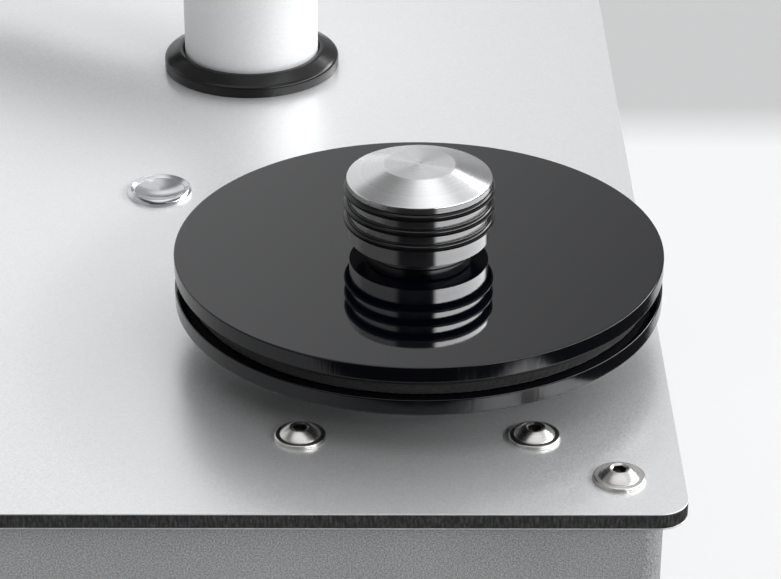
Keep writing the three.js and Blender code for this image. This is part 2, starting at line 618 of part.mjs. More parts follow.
function buildArm() {
  const lipRadius = column.radius + 2 * fitGap;
  const sleeveInner = column.radius + fitGap;
  const sleeveOuter = sleeveInner + sleeve.wall;
  const neckInner = sleeveOuter + fitGap;
  const neckBottom = level.panelTop - gland.neckLength;
  const lipBottom = level.panelTop + sleeve.underLip + fitGap;
  const glandProfile = [
    [neckInner, neckBottom],
    [gland.neckRadius, neckBottom],
    [gland.neckRadius, level.panelTop + bondGap],
    [gland.ringRadius, level.panelTop + bondGap],
    [gland.ringRadius, level.panelTop + gland.rimHeight - bondGap],
    [gland.ringRadius - gland.lipWidth / 2, level.panelTop + gland.rimHeight + gland.lipWidth / 2],
    [lipRadius + gland.lipWidth, level.panelTop + gland.height],
    [lipRadius, level.panelTop + gland.height],
    [lipRadius, lipBottom],
    [neckInner, lipBottom],
  ];
  add(machine, "arm_gland", revolve(glandProfile, sides.columnCount), blackRubber, columnAt.x, columnAt.y);

  const sleeveTop = level.panelTop + sleeve.underLip;
  const sleeveBottom = neckBottom + runGap;
  const ring = ringOf(sleeveOuter, sleeveInner, sleeveBottom, sleeveTop, sides.columnCount);
  const key = block(
    [sleeveInner - sleeve.keyDepth, -sleeve.keyWidth / 2, sleeveBottom],
    [sleeveInner + sleeve.wall / 2, sleeve.keyWidth / 2, sleeveTop],
  );
  const turned = new THREE.Group();
  turned.position.set(columnAt.x, columnAt.y, 0);
  turned.rotation.z = parkedAngle;
  machine.add(turned);
  add(turned, "swivel_sleeve", join(ring, key), blackPlastic);

  const columnBottom = level.panelTop - column.below;
  const columnTop = level.panelTop + column.above;
  const bore = column.radius - column.wall;
  const beamBottom = level.panelTop + beam.overPlatter;
  const beamTop = beamBottom + beam.height;
  const tube = ringOf(column.radius, bore, columnBottom, columnTop, sides.columnCount);
  const groove = block(
    [column.radius - column.grooveDepth, -column.grooveWidth / 2, columnBottom - overrun],
    [column.radius + overrun, column.grooveWidth / 2, sleeveTop + fitGap],
  );
  const window = block(
    [bore - overrun, -beam.width / 2 - fitGap, beamBottom - fitGap],
    [column.radius + overrun, beam.width / 2 + fitGap, beamTop + fitGap],
  );
  add(turned, "arm_column", cut(tube, groove, window), turnedAluminium);

  const capTop = columnTop + columnCap.thickness;
  const spigotRadius = bore - fitGap;
  const capProfile = [
    [0, columnTop - columnCap.spigot + columnCap.thickness],
    [spigotRadius, columnTop - columnCap.spigot + columnCap.thickness],
    [spigotRadius, columnTop + bondGap],
    [column.radius, columnTop + bondGap],
    [column.radius, capTop - columnCap.edge],
    [column.radius - columnCap.edge, capTop],
    [0, capTop],
  ];
  add(turned, "column_cap", revolve(capProfile, sides.columnCount), turnedAluminium);

  const start = bore - beam.intoColumn;
  const profile = roundedOutline(THREE.Shape, beam.width, beam.height, beam.corner);
  const hollowWidth = beam.width - 2 * beam.wall;
  const hollowHeight = beam.height - 2 * beam.wall;
  profile.holes.push(roundedOutline(THREE.Path, hollowWidth, hollowHeight, beam.corner - beam.wall));
  const midHeight = beamBottom + beam.height / 2;
  const beamReach = armLength - beam.fromLabel;
  const beamTube = alongX(slab(profile, start, beamReach)).translate(0, 0, midHeight);
  const slotStart = column.radius + beam.slotEnd;
  const slotEnd = beamReach - beamPlug.spigot - beam.slotEnd;
  const slot = block(
    [slotStart, -beam.slotWidth / 2, beamBottom - overrun],
    [slotEnd, beam.slotWidth / 2, beamBottom + beam.wall + beam.slotEnd],
  );
  add(turned, "suction_beam", cut(beamTube, slot), silverCoat);

  const plugFace = roundedOutline(THREE.Shape, beam.width, beam.height, beam.corner);
  const spigotWidth = hollowWidth - 2 * fitGap;
  const spigotHeight = hollowHeight - 2 * fitGap;
  const spigot = roundedOutline(THREE.Shape, spigotWidth, spigotHeight, beam.corner - beam.wall);
  const plugStart = beamReach + runGap;
  const plugBody = join(
    slab(plugFace, plugStart, plugStart + beamPlug.thickness),
    slab(spigot, beamReach - beamPlug.spigot, plugStart + beamPlug.thickness / 2),
  );
  add(turned, "beam_plug", alongX(plugBody).translate(0, 0, midHeight), blackPlastic);

  const feltTop = beamBottom - bondGap;
  const feltStart = slotStart - felt.endMargin;
  const feltEnd = slotEnd + felt.endMargin;
  const feltInner = beam.slotWidth / 2 + felt.slotSide;
  ["left", "right"].forEach((side, i) => {
    const sign = i === 0 ? 1 : -1;
    const edges = [sign * feltInner, sign * (feltInner + felt.width)].sort((a, b) => a - b);
    const strip = block([feltStart, edges[0], feltTop - felt.thickness], [feltEnd, edges[1], feltTop]);
    add(turned, "felt_strip_" + side, strip, blackFoam);
  });
}

// Vacuum side inside the housing: elbow, hoses, tank, turbine

// The tank fills the rear left corner up to the elbow, and its front wall stands before its side port.
const elbowInner = clearRound(gland.neckRadius, sides.postCount);
const tankAt = {
  left: -half.shellWidth + shell.wall + tank.fromLeft,
  right: columnAt.x - elbowInner - elbow.wall - tank.fromElbow,
  back: half.shellDepth - shell.wall - tank.fromBack,
  bottom: level.inside,
  top: level.inside + tank.height,
};
const tubeEnds = [tankAt.bottom + levelTube.aboveTankFloor, tankAt.top - levelTube.belowTankTop];
const hoseEnd = { x: tankAt.right + tank.portReach + fitGap };
const hoseStartY = columnAt.y - elbow.outletReach - fitGap;
hoseEnd.y = hoseStartY - (columnAt.x - hoseEnd.x);
tankAt.front = hoseEnd.y - tank.portRadius - tank.portMargin;
const turbineAt = { x: -half.shellWidth + turbine.fromLeft + shell.wall, z: turbine.axisHeight };
const suctionHeight = level.panelTop - elbow.outletDrop;

function buildVacuum() {
  const seatTop = level.panelBottom - bondGap;
  const elbowBore = clearRound(column.radius, sides.postCount);
  const ledge = level.panelTop - gland.neckLength - bondGap;
  const elbowFloor = suctionHeight - elbow.outletRadius - elbow.floor;
  const cup = [
    [0, elbowFloor],
    [elbowBore + elbow.wall, elbowFloor],
    [elbowBore + elbow.wall, ledge - elbow.wall],
    [elbowInner + elbow.wall, ledge - elbow.wall],
    [elbowInner + elbow.wall, seatTop],
    [elbowInner, seatTop],
    [elbowInner, ledge],
    [elbowBore, ledge],
    [elbowBore, elbowFloor + elbow.floor],
    [0, elbowFloor + elbow.floor],
  ];
  const spout = (radius, reach) =>
    alongY(post(radius, -reach, 0, sides.postCount)).translate(0, 0, suctionHeight);
  const outlet = spout(elbow.outletRadius, elbow.outletReach);
  const outletBore = spout(elbow.outletBore, elbow.outletReach + overrun);
  const chamberTop = suctionHeight + elbow.outletRadius;
  const chamber = post(elbowBore, elbowFloor + elbow.floor, chamberTop, sides.postCount);
  const elbowBody = cut(join(revolve(cup, sides.postCount), outlet), outletBore, chamber);
  add(machine, "suction_elbow", elbowBody, blackPlastic, columnAt.x, columnAt.y);

  const bendRadius = columnAt.x - hoseEnd.x;
  const kappaShare = 0.5523; // handle length of a Bezier quarter circle
  const suctionPoint = (x, y) => new THREE.Vector3(x, y, suctionHeight);
  const quarter = new THREE.CubicBezierCurve3(
    suctionPoint(columnAt.x, hoseStartY),
    suctionPoint(columnAt.x, hoseStartY - kappaShare * bendRadius),
    suctionPoint(hoseEnd.x + kappaShare * bendRadius, hoseEnd.y),
    suctionPoint(hoseEnd.x, hoseEnd.y),
  );
  const hoseAlong = (curve) =>
    pipe(curve, hose.bore + hose.wall, hose.bore, sides.hoseStepCount, sides.hoseCount);
  add(machine, "suction_hose", hoseAlong(quarter), blackRubber);

  const tankX = (tankAt.left + tankAt.right) / 2;
  const tankY = (tankAt.front + tankAt.back) / 2;
  const tankWidth = tankAt.right - tankAt.left;
  const tankDepth = tankAt.back - tankAt.front;
  const tankOutline = (inset) => {
    const [width, depth] = [tankWidth - 2 * inset, tankDepth - 2 * inset];
    return roundedOutline(THREE.Shape, width, depth, tank.corner - inset, tankX, tankY);
  };
  const body = slab(tankOutline(0), tankAt.bottom, tankAt.top);
  const cavity = slab(tankOutline(tank.wall), tankAt.bottom + tank.wall, tankAt.top + overrun);
  const airHeight = tankAt.top - airPort.fromTop;
  const stub = (radius, low, high) => post(radius, low, high, sides.postCount);
  const sidePort = (...sizes) => alongX(stub(...sizes)).translate(tankAt.right, hoseEnd.y, suctionHeight);
  const frontPort = (...sizes) => alongY(stub(...sizes)).translate(turbineAt.x, tankAt.front, airHeight);
  const drainX = -half.width + drain.fromLeft;
  const backHole = (radius, x, z) => {
    const tool = post(clearRound(radius, sides.holeCount), -overrun, overrun, sides.holeCount);
    return alongY(tool).translate(x, tankAt.back, z);
  };
  const tubeX = -half.width + levelTube.fromLeft;
  const sideStub = sidePort(tank.portRadius, -tank.wall / 2, tank.portReach);
  const frontStub = frontPort(tank.portRadius, -airPort.reach, tank.wall / 2);
  const shellOfTank = cut(
    join(body, sideStub, frontStub),
    cavity,
    sidePort(tank.portBore, -overrun, overrun + tank.portReach),
    frontPort(tank.portBore, -overrun - airPort.reach, overrun),
    backHole(drain.pipeRadius, drainX, drain.height),
    ...tubeEnds.map((z) => backHole(levelTube.radius, tubeX, z)),
  );
  add(machine, "fluid_tank", shellOfTank, whiteTank);

  const lidBottom = tankAt.top + bondGap;
  const lid = join(
    slab(tankOutline(0), lidBottom, lidBottom + tankLid.thickness),
    slab(tankOutline(tank.wall + fitGap), lidBottom - tankLid.lipHeight, lidBottom + tankLid.thickness / 2),
  );
  add(machine, "tank_lid", lid, blackPlastic);

  const turbineFront = -half.shellDepth + shell.wall + turbine.fromFront;
  const turbineLength = turbine.motorLength + 2 * turbine.stageHeight + turbine.neckHeight + bondGap;
  const inletEnd = turbineFront + turbineLength + turbine.inletReach;
  const airStart = new THREE.Vector3(turbineAt.x, tankAt.front - airPort.reach - fitGap, airHeight);
  const airEnd = new THREE.Vector3(turbineAt.x, inletEnd + fitGap, turbineAt.z);
  const middle = (airStart.y + airEnd.y) / 2;
  const airPath = new THREE.CubicBezierCurve3(
    airStart,
    new THREE.Vector3(turbineAt.x, middle, airStart.z),
    new THREE.Vector3(turbineAt.x, middle, airEnd.z),
    airEnd,
  );
  add(machine, "air_hose", hoseAlong(airPath), blackRubber);

  // The turbine lies along Y: motor at the front, two fan stages and the inlet towards the tank.
  const stageStart = turbine.motorLength + bondGap;
  const firstStage = stageStart + turbine.stageHeight;
  const secondStage = firstStage + turbine.neckHeight;
  const stageEnd = secondStage + turbine.stageHeight;
  const casing = [
    [0, stageStart],
    [turbine.radius - turbine.edge, stageStart],
    [turbine.radius, stageStart + turbine.edge],
    [turbine.radius, firstStage],
    [turbine.neckRadius, firstStage],
    [turbine.neckRadius, secondStage],
    [turbine.radius, secondStage],
    [turbine.radius, stageEnd - turbine.edge],
    [turbine.radius - turbine.edge, stageEnd],
    [turbine.inletRadius, stageEnd],
    [turbine.inletRadius, stageEnd + turbine.inletReach],
    [hose.bore, stageEnd + turbine.inletReach],
    [hose.bore, secondStage],
    [0, secondStage],
  ];
  const layDown = (geometry) => alongY(geometry).translate(turbineAt.x, turbineFront, turbineAt.z);
  add(machine, "turbine_casing", layDown(revolve(casing, sides.ringCount)), turnedAluminium);
  const motorProfile = [
    [0, 0],
    [turbine.motorRadius - turbine.edge, 0],
    [turbine.motorRadius, turbine.edge],
    [turbine.motorRadius, turbine.motorLength],
    [0, turbine.motorLength],
  ];
  add(machine, "turbine_motor", layDown(revolve(motorProfile, sides.postCount)), steel);

  const cradleY = turbineFront + turbine.motorLength / 2;
  const saddle = block(
    [turbineAt.x - cradle.width / 2, cradleY - cradle.length / 2, level.floorTop + bondGap],
    [turbineAt.x + cradle.width / 2, cradleY + cradle.length / 2, turbineAt.z - cradle.side],
  );
  const seatRadius = turbine.motorRadius + bondGap;
  const seat = alongY(post(seatRadius, cradleY - cradle.length, cradleY + cradle.length, sides.postCount));
  seat.translate(turbineAt.x, 0, turbineAt.z);
  add(machine, "turbine_cradle", cut(saddle, seat), blackRubber);
}

// Power board on the floor plate

function buildBoard() {
  const right = half.shellWidth - board.fromRight;
  const left = right - board.width;
  const back = half.shellDepth - board.fromBack;
  const front = back - board.depth;
  const bottom = level.floorTop + bondGap;
  const low = bottom + board.standoff;
  const high = low + board.thickness;
  const edge = 2 * board.standoffRadius;
  const posts = corners.map(([sx, sy]) =>
    post(board.standoffRadius, bottom, low + board.thickness / 2, sides.holeCount).translate(
      sx < 0 ? left + edge : right - edge,
      sy < 0 ? front + edge : back - edge,
      0,
    ),
  );
  const middle = (left + right) / 2;
  const transformer = block(
    [middle - board.coreWidth / 2, front + 2 * edge, low + board.thickness / 2],
    [middle + board.coreWidth / 2, front + 2 * edge + board.coreDepth, high + board.coreHeight],
  );
  const capacitors = [-1, 1].map((side) =>
    post(board.capRadius, low + board.thickness / 2, high + board.capHeight, sides.holeCount).translate(
      middle + side * (board.capRadius + fitGap),
      back - edge - board.capRadius,
      0,
    ),
  );
  const plate = block([left, front, low], [right, back, high]);
  add(machine, "power_board", join(plate, ...posts, transformer, ...capacitors), circuitGreen);
}

// Rear wall: mains inlet with its rocker, drain cock, level tube

function buildInlet() {
  const x = half.width - inlet.fromRight;
  const face = half.shellDepth + bondGap;
  const outer = face + inlet.flange;
  const flangeShape = roundedOutline(THREE.Shape, inlet.width, inlet.height, inlet.corner);
  const flange = alongY(slab(flangeShape, face, outer)).translate(x, 0, inlet.centreHeight);
  const bodyHalf = { w: inlet.width / 2 - inlet.bodyMargin, h: inlet.height / 2 - inlet.bodyMargin };
  const body = block(
    [x - bodyHalf.w, face - inlet.bodyDepth, inlet.centreHeight - bodyHalf.h],
    [x + bodyHalf.w, face + inlet.flange / 2, inlet.centreHeight + bodyHalf.h],
  );
  const socketZ = inlet.centreHeight - inlet.socketDrop;
  const socket = block(
    [x - inlet.socketWidth / 2, outer - inlet.socketDepth, socketZ - inlet.socketHeight / 2],
    [x + inlet.socketWidth / 2, outer + overrun, socketZ + inlet.socketHeight / 2],
  );
  const rockerZ = inlet.centreHeight + inlet.rockerRise;
  const well = block(
    [x - inlet.rockerWidth / 2, outer - inlet.rockerDepth, rockerZ - inlet.rockerHeight / 2],
    [x + inlet.rockerWidth / 2, outer + overrun, rockerZ + inlet.rockerHeight / 2],
  );
  const pinRoot = outer - inlet.socketDepth - inlet.flange;
  const pinTip = outer - inlet.socketDepth + inlet.pinLength;
  const pins = [-1, 0, 1].map((i) => {
    const pinX = x + i * inlet.pinPitch;
    const pinZ = socketZ + (i === 0 ? 1 : -1) * (inlet.pinHeight / 2);
    return block(
      [pinX - inlet.pinWidth / 2, pinRoot, pinZ - inlet.pinHeight / 2],
      [pinX + inlet.pinWidth / 2, pinTip, pinZ + inlet.pinHeight / 2],
    );
  });
  add(machine, "mains_inlet", join(cut(join(flange, body), socket, well), ...pins), blackPlastic);

  // The rocker's outline is drawn in Y and Z about its pivot: a flat back and two faces in a shallow V.
  const reach = inlet.rockerHeight / 2 - rocker.crown;
  const outline = new THREE.Shape();
  outline.moveTo(-rocker.thickness, -reach + rocker.crown);
  outline.lineTo(rocker.proud + rocker.crown, -reach);
  outline.lineTo(rocker.proud, 0);
  outline.lineTo(rocker.proud + rocker.crown, reach);
  outline.lineTo(-rocker.thickness, reach - rocker.crown);
  outline.closePath();
  const rockerWidth = inlet.rockerWidth - 2 * fitGap;
  const keyBody = slab(outline, -rockerWidth / 2, rockerWidth / 2)
    .rotateX(Math.PI / 2)
    .rotateZ(Math.PI / 2)
    .rotateX(THREE.MathUtils.degToRad(rocker.tilt));
  add(machine, "mains_rocker", keyBody, blackPlastic, x, outer - rocker.crown, rockerZ);
}

const drainReach = drain.standOff + drain.nozzleLength; // from the shell's back face to the nozzle's mouth

function buildDrain() {
  const x = -half.width + drain.fromLeft;
  const face = half.shellDepth;
  const barrelY = face + drain.standOff;
  const backwards = (geometry) => alongY(geometry).translate(0, 0, drain.height);
  const pipeStart = tankAt.back - drain.intoTank;
  const mouth = face + drainReach;
  const flowLine = [
    [0, pipeStart],
    [drain.pipeRadius, pipeStart],
    [drain.pipeRadius, face + bondGap],
    [drain.nutRadius, face + bondGap],
    [drain.nutRadius, face + drain.nutThickness],
    [drain.nozzleRadius, face + drain.nutThickness],
    [drain.nozzleRadius, mouth - drain.barbLength],
    [drain.barbRadius, mouth - drain.barbLength],
    [drain.nozzleRadius, mouth],
    [0, mouth],
  ];
  const line = backwards(revolve(flowLine, sides.holeCount));
  const barrelTop = drain.height + drain.barrelHeight / 2;
  const barrelBottom = drain.height - drain.barrelHeight / 2;
  const barrel = post(drain.barrelRadius, barrelBottom, barrelTop, sides.postCount).translate(0, barrelY, 0);
  const bore = backwards(post(drain.boreRadius, barrelY, mouth + overrun, sides.holeCount));
  const stemHoleRadius = clearRound(drainLever.stemRadius, sides.holeCount);
  const stemHoleBottom = barrelTop - drainLever.stemLength;
  const stemHole = post(stemHoleRadius, stemHoleBottom, barrelTop + overrun, sides.holeCount);
  stemHole.translate(0, barrelY, 0);
  add(machine, "drain_cock", cut(join(line, barrel), bore, stemHole), brass, x);

  // The lever lies across the pipe when the cock is shut.
  const leverBottom = barrelTop + runGap;
  const leverTop = leverBottom + drainLever.thickness;
  const arm = block(
    [-drainLever.length, -drainLever.width / 2, leverBottom],
    [0, drainLever.width / 2, leverTop],
  );
  const hubDisc = post(drainLever.hubRadius, leverBottom, leverTop, sides.postCount);
  const leverMiddle = (leverBottom + leverTop) / 2;
  const stem = post(drainLever.stemRadius, stemHoleBottom + fitGap, leverMiddle, sides.holeCount);
  add(machine, "drain_lever", join(arm, hubDisc, stem), blackPlastic, x, barrelY);
}

function buildLevelTube() {
  const x = -half.width + levelTube.fromLeft;
  const start = tankAt.back - levelTube.intoTank;
  const out = half.shellDepth + levelTube.standOff;
  const path = new THREE.CurvePath();
  const [low, high] = tubeEnds;
  const point = (y, z) => new THREE.Vector3(x, y, z);
  const bendStart = out - levelTube.bendRadius;
  const lowBend = [point(bendStart, low), point(out, low), point(out, low + levelTube.bendRadius)];
  const highBend = [point(out, high - levelTube.bendRadius), point(out, high), point(bendStart, high)];
  path.add(new THREE.LineCurve3(point(start, low), lowBend[0]));
  path.add(new THREE.QuadraticBezierCurve3(...lowBend));
  path.add(new THREE.LineCurve3(lowBend[2], highBend[0]));
  path.add(new THREE.QuadraticBezierCurve3(...highBend));
  path.add(new THREE.LineCurve3(highBend[2], point(start, high)));
  const tube = pipe(path, levelTube.radius - fitGap, levelTube.bore, sides.tubeStepCount, sides.tubeCount);
  add(machine, "level_tube", tube, clearPlastic);
}

// Metal push buttons set in the top panel

function buildButtons() {
  const capBore = button.capRadius + fitGap;
  const bezel = [
    [capBore, -button.depth],
    [button.neckRadius, -button.depth],
    [button.neckRadius, bondGap],
    [button.bezelRadius, bondGap],
    [button.bezelRadius, button.bezelEdge],
    [button.bezelRadius - button.bezelLip / 2, button.bezelHeight],
    [capBore, button.proud],
  ];
  const dishShare = 0.7; // where the dished face has its ring of facets
  const cap = [
    [0, button.proud - button.plungerDepth],
    [button.capRadius, button.proud - button.plungerDepth],
    [button.capRadius, button.proud],
    [button.capRadius * dishShare, button.proud - button.dish * dishShare],
    [0, button.proud - button.dish],
  ];
  ["vacuum", "motor"].forEach((name, i) => {
    const at = [buttonsAt[i].x, buttonsAt[i].y, level.panelTop];
    add(machine, name + "_button_bezel", revolve(bezel, sides.buttonCount), stainless, ...at);
    add(machine, name + "_button", revolve(cap, sides.buttonCount), stainless, ...at);
  });
}

buildHousing();
buildPanel();
buildFasteners();
buildDrive();
buildPlatter();
buildClamp();
buildArm();
buildVacuum();
buildBoard();
buildInlet();
buildDrain();
buildLevelTube();
buildButtons();

// The drain nozzle stands out behind the panel, so the whole is moved forward by half of that.
machine.position.y = -(half.shellDepth + drainReach - half.depth) / 2;

export default machine;
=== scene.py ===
"""Dressed model of a record cleaning machine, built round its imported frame.

Lengths are millimetres in the frame's axes until a mesh is written, which is in metres.
"""

import logging
import math
from dataclasses import dataclass
from enum import Enum, IntEnum
from functools import reduce
from typing import Callable, Protocol, Sequence

import bmesh
import bpy
import numpy as np
from mathutils import Matrix, Vector


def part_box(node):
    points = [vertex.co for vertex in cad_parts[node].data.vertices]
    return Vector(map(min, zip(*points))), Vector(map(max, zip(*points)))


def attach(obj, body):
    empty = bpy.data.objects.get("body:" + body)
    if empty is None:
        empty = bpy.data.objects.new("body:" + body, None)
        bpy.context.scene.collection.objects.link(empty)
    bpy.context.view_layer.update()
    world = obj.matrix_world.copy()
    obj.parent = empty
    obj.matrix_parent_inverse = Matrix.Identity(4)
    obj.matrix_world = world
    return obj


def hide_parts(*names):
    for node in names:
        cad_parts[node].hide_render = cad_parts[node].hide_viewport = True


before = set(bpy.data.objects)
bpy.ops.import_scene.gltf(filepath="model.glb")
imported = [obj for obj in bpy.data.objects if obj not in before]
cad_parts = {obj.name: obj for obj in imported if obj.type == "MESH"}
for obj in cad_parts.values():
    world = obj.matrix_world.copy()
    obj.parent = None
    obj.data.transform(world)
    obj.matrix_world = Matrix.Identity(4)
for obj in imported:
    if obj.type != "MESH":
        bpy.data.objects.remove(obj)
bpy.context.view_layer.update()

log = logging.getLogger("record cleaning machine")

METRES = 0.001  # metres in a millimetre
GLUE = 0.02  # seat between flat faces that don't move
FIT = 0.3  # clearance round a shank, tube or plug in its hole
SHARP = 33.0  # degrees between faces from which an edge stays sharp
PANEL_TOP = 150.0  # height of the top panel's upper face
CORNERS = ("front_left", "front_right", "rear_left", "rear_right")

Triple = tuple[float, float, float]
Profile = Sequence[Triple]
ReachRule = Callable[[np.ndarray, np.ndarray], np.ndarray]
Colour = Triple
Socket = bpy.types.NodeSocket


class Body(Enum):
    """The rigid bodies that pieces ride on."""

    ROOT = "root"
    PLATTER = "platter"
    CLAMP = "clamp"
    KNOB = "knob"
    SWIVEL = "swivel"
    ARM = "arm"
    VACUUM_CAP = "vacuum_button_cap"
    MOTOR_CAP = "motor_button_cap"
    MAINS_SWITCH = "mains_switch"
    DRAIN_TAP = "drain_tap"


class Slot(Enum):
    """The record's material slots."""

    HOUSING = "housing_coat"
    RUBBER = "rubber_black"
    SILVER = "panel_silver"
    CORE = "panel_core"
    STAINLESS = "stainless"
    STEEL = "steel_plain"
    GREY_PLASTIC = "plastic_grey"
    BRASS = "brass"
    ALUMINIUM = "aluminium_turned"
    ACRYLIC = "acrylic_black"
    FOAM = "foam_black"
    BLACK_PLASTIC = "plastic_black"
    TANK = "tank_white"
    CIRCUIT = "circuit_green"
    CLEAR = "tube_clear"


# Shapes


class Columns(IntEnum):
    """Columns round a turned surface, by its size and how closely it is seen."""

    HOSE = 32
    SMALL = 48
    MIDDLE = 72
    LARGE = 96
    ARM = 128
    KNOB = 144
    DISC = 192
    FOAM = 720


@dataclass
class Shell:
    """Closed surface: points (n, 3), faces as lists of rows, and one UV pair a face corner."""

    points: np.ndarray
    faces: list[list[int]]
    uvs: np.ndarray

    def moved(self, x: float = 0.0, y: float = 0.0, z: float = 0.0) -> "Shell":
        """The surface shifted by x, y and z."""
        return Shell(self.points + np.array([x, y, z]), self.faces, self.uvs)

    def turned(self, angle: float) -> "Shell":
        """The surface turned about the vertical axis by an angle in radians."""
        return Shell(self.points @ np.array(Matrix.Rotation(angle, 3, "Z")).T, self.faces, self.uvs)

    def flipped(self) -> "Shell":
        """The surface with its faces turned over, and their UV pairs in the new order.

        Returns:
            The turned surface.
        """
        sizes = np.array([len(f) for f in self.faces])
        starts = np.concatenate([[0], np.cumsum(sizes)[:-1]])
        order = np.concatenate([np.arange(s + n - 1, s - 1, -1) for s, n in zip(starts, sizes)])
        return Shell(self.points, [f[::-1] for f in self.faces], self.uvs[order])

    def volume(self) -> float:
        """Sum over triangle fans of a . (b x c) / 6, positive where faces look outwards.

        Returns:
            The volume in cubic millimetres.
        """
        fans = [(f[0], f[i], f[i + 1]) for f in self.faces for i in range(1, len(f) - 1)]
        a, b, c = (self.points[np.array(fans)[:, k]] for k in range(3))
        return float(np.einsum("ij,ij->i", a, np.cross(b, c)).sum() / 6)


def travelled(path: np.ndarray) -> np.ndarray:
    """The distance along a path at each of its points, in metres."""
    steps = np.linalg.norm(np.diff(path, axis=0), axis=1)
    return np.concatenate([[0], np.cumsum(steps)]) * METRES


def grid_shell(points: np.ndarray, u: np.ndarray, v: np.ndarray, wrap_rows: bool) -> Shell:
    """Joins a grid of points into quads, closed round its columns and, if asked, round its rows.

    Where the rows aren't closed, the first and last row are fans about their own mean point.

    Args:
        points: grid of points, (rows, columns, 3).
        u: each column's U, with one more for the seam.
        v: each row's V, with one more for the seam.
        wrap_rows: True where the last row joins the first, as on a ring.

    Returns:
        The surface, with its faces turned outwards.
    """
    uvs = np.stack(np.meshgrid(u, v), -1)
    rows, columns = points.shape[:2]
    last = rows if wrap_rows else rows - 1
    r, c = np.meshgrid(np.arange(last), np.arange(columns), indexing="ij")
    below, after = (r + 1) % rows * columns, (c + 1) % columns
    quads = np.stack([r * columns + c, r * columns + after, below + after, below + c], -1)
    corners = np.stack([uvs[r, c], uvs[r, c + 1], uvs[r + 1, c + 1], uvs[r + 1, c]], -2)
    flat = points.reshape(-1, 3)
    faces = quads.reshape(-1, 4).tolist()
    pairs = corners.reshape(-1, 2)
    if not wrap_rows:
        flat = np.vstack([flat, points[0].mean(0), points[-1].mean(0)])
        around = np.arange(columns)
        onward, base = (around + 1) % columns, (rows - 1) * columns
        pole = np.full(columns, rows * columns)
        faces += np.stack([pole, onward, around], -1).tolist()
        faces += np.stack([pole + 1, base + around, base + onward], -1).tolist()
        fans = [np.stack([uvs[k, :-1], uvs[k, 1:], uvs[k, :-1]], 1).reshape(-1, 2) for k in (0, -1)]
        pairs = np.vstack([pairs, *fans])
    shell = Shell(flat, faces, pairs)
    return shell.flipped() if shell.volume() < 0 else shell


def eased(profile: Profile, closed: bool = False) -> np.ndarray:
    """Rounds the corners of a profile.

    A corner P whose easing is e becomes the parabola (1-t)^2 A + 2t(1-t) P + t^2 B, where A and B
    lie e before and e after P on its two sides, or just short of half way where a side is short.

    Args:
        profile: rows of (radius, height, easing).
        closed: True where the last point joins the first.

    Returns:
        Rows of (radius, height).
    """
    steps, most_share, least_length, least_step = 4, 0.499, 1e-9, 1e-5
    rows = np.array(profile, float)
    corner, ease = rows[:, :2], rows[:, 2:]
    before, after = np.roll(corner, 1, 0), np.roll(corner, -1, 0)
    if not closed:
        before[0], after[-1] = corner[0], corner[-1]

    def toward(target: np.ndarray) -> np.ndarray:
        """The points at the easing's distance towards the neighbours.

        Args:
            target: The points' neighbours.

        Returns:
            One new point for each.
        """
        gap = target - corner
        length = np.maximum(np.linalg.norm(gap, axis=1, keepdims=True), least_length)
        return corner + gap * np.minimum(ease / length, most_share)

    a, b = toward(before), toward(after)
    t = np.linspace(0, 1, steps + 1)[None, :, None]
    curve = (1 - t) ** 2 * a[:, None] + 2 * t * (1 - t) * corner[:, None] + t**2 * b[:, None]
    points = curve.reshape(-1, 2)
    keep = np.linalg.norm(points - np.roll(points, 1, 0), axis=1) > least_step
    if not closed:
        keep[0] = True
    return points[keep]


def lathe(
    profile: Profile, count: int, closed: bool = False, reach: ReachRule | None = None
) -> Shell:
    """Turns a profile about the vertical axis: a point is (r cos a, r sin a, h).

    The UV's u is the angle's share of a turn and its v the distance along the profile in metres.

    Args:
        profile: rows of (radius, height, easing); an open one starts and ends on the axis.
        count: columns round the turn.
        closed: True for a ring, whose profile joins itself.
        reach: rule that changes the grid of radii, from (rows of (radius, height), angles).

    Returns:
        The turned surface.
    """
    least_radius, pole_radius = 1e-6, 0.02
    rows = eased(profile, closed)
    if not closed:
        rows[rows[:, 0] < least_radius, 0] = pole_radius
    angle = np.linspace(0, 2 * math.pi, count, endpoint=False)
    radius = np.repeat(rows[:, :1], count, 1) if reach is None else reach(rows, angle)
    height = np.repeat(rows[:, 1:], count, 1)
    points = np.stack([radius * np.cos(angle), radius * np.sin(angle), height], -1)
    loop = np.vstack([rows, rows[:1]])
    return grid_shell(points, np.linspace(0, 1, count + 1), travelled(loop), closed)


def hex_reach(across_flats: float, low: float, high: float) -> ReachRule:
    """A rule that gives rows between two heights a hexagon's radius.

    A row's radius is divided by the cosine of the angle from the nearest flat's middle.

    Args:
        across_flats: Distance between two flats.
        low: Height of the lowest row with flats.
        high: Height of the highest.

    Returns:
        The rule.
    """
    core, slack = 0.03, 1e-3

    def rule(rows: np.ndarray, angle: np.ndarray) -> np.ndarray:
        """Radii of the grid, with the hexagon scaled by each row's own share of its size.

        Args:
            rows: Radius and height of each row.
            angle: Angle of each column.

        Returns:
            The radius of each point.
        """
        from_flat = (angle + math.pi / 6) % (math.pi / 3) - math.pi / 6
        hexagon = 1 / np.cos(from_flat)
        inside = (rows[:, 0] > core) & (rows[:, 0] <= across_flats / 2 + slack)
        chosen = inside & (rows[:, 1] >= low - slack) & (rows[:, 1] <= high + slack)
        return np.where(chosen[:, None], rows[:, :1] * hexagon[None, :], rows[:, :1])

    return rule


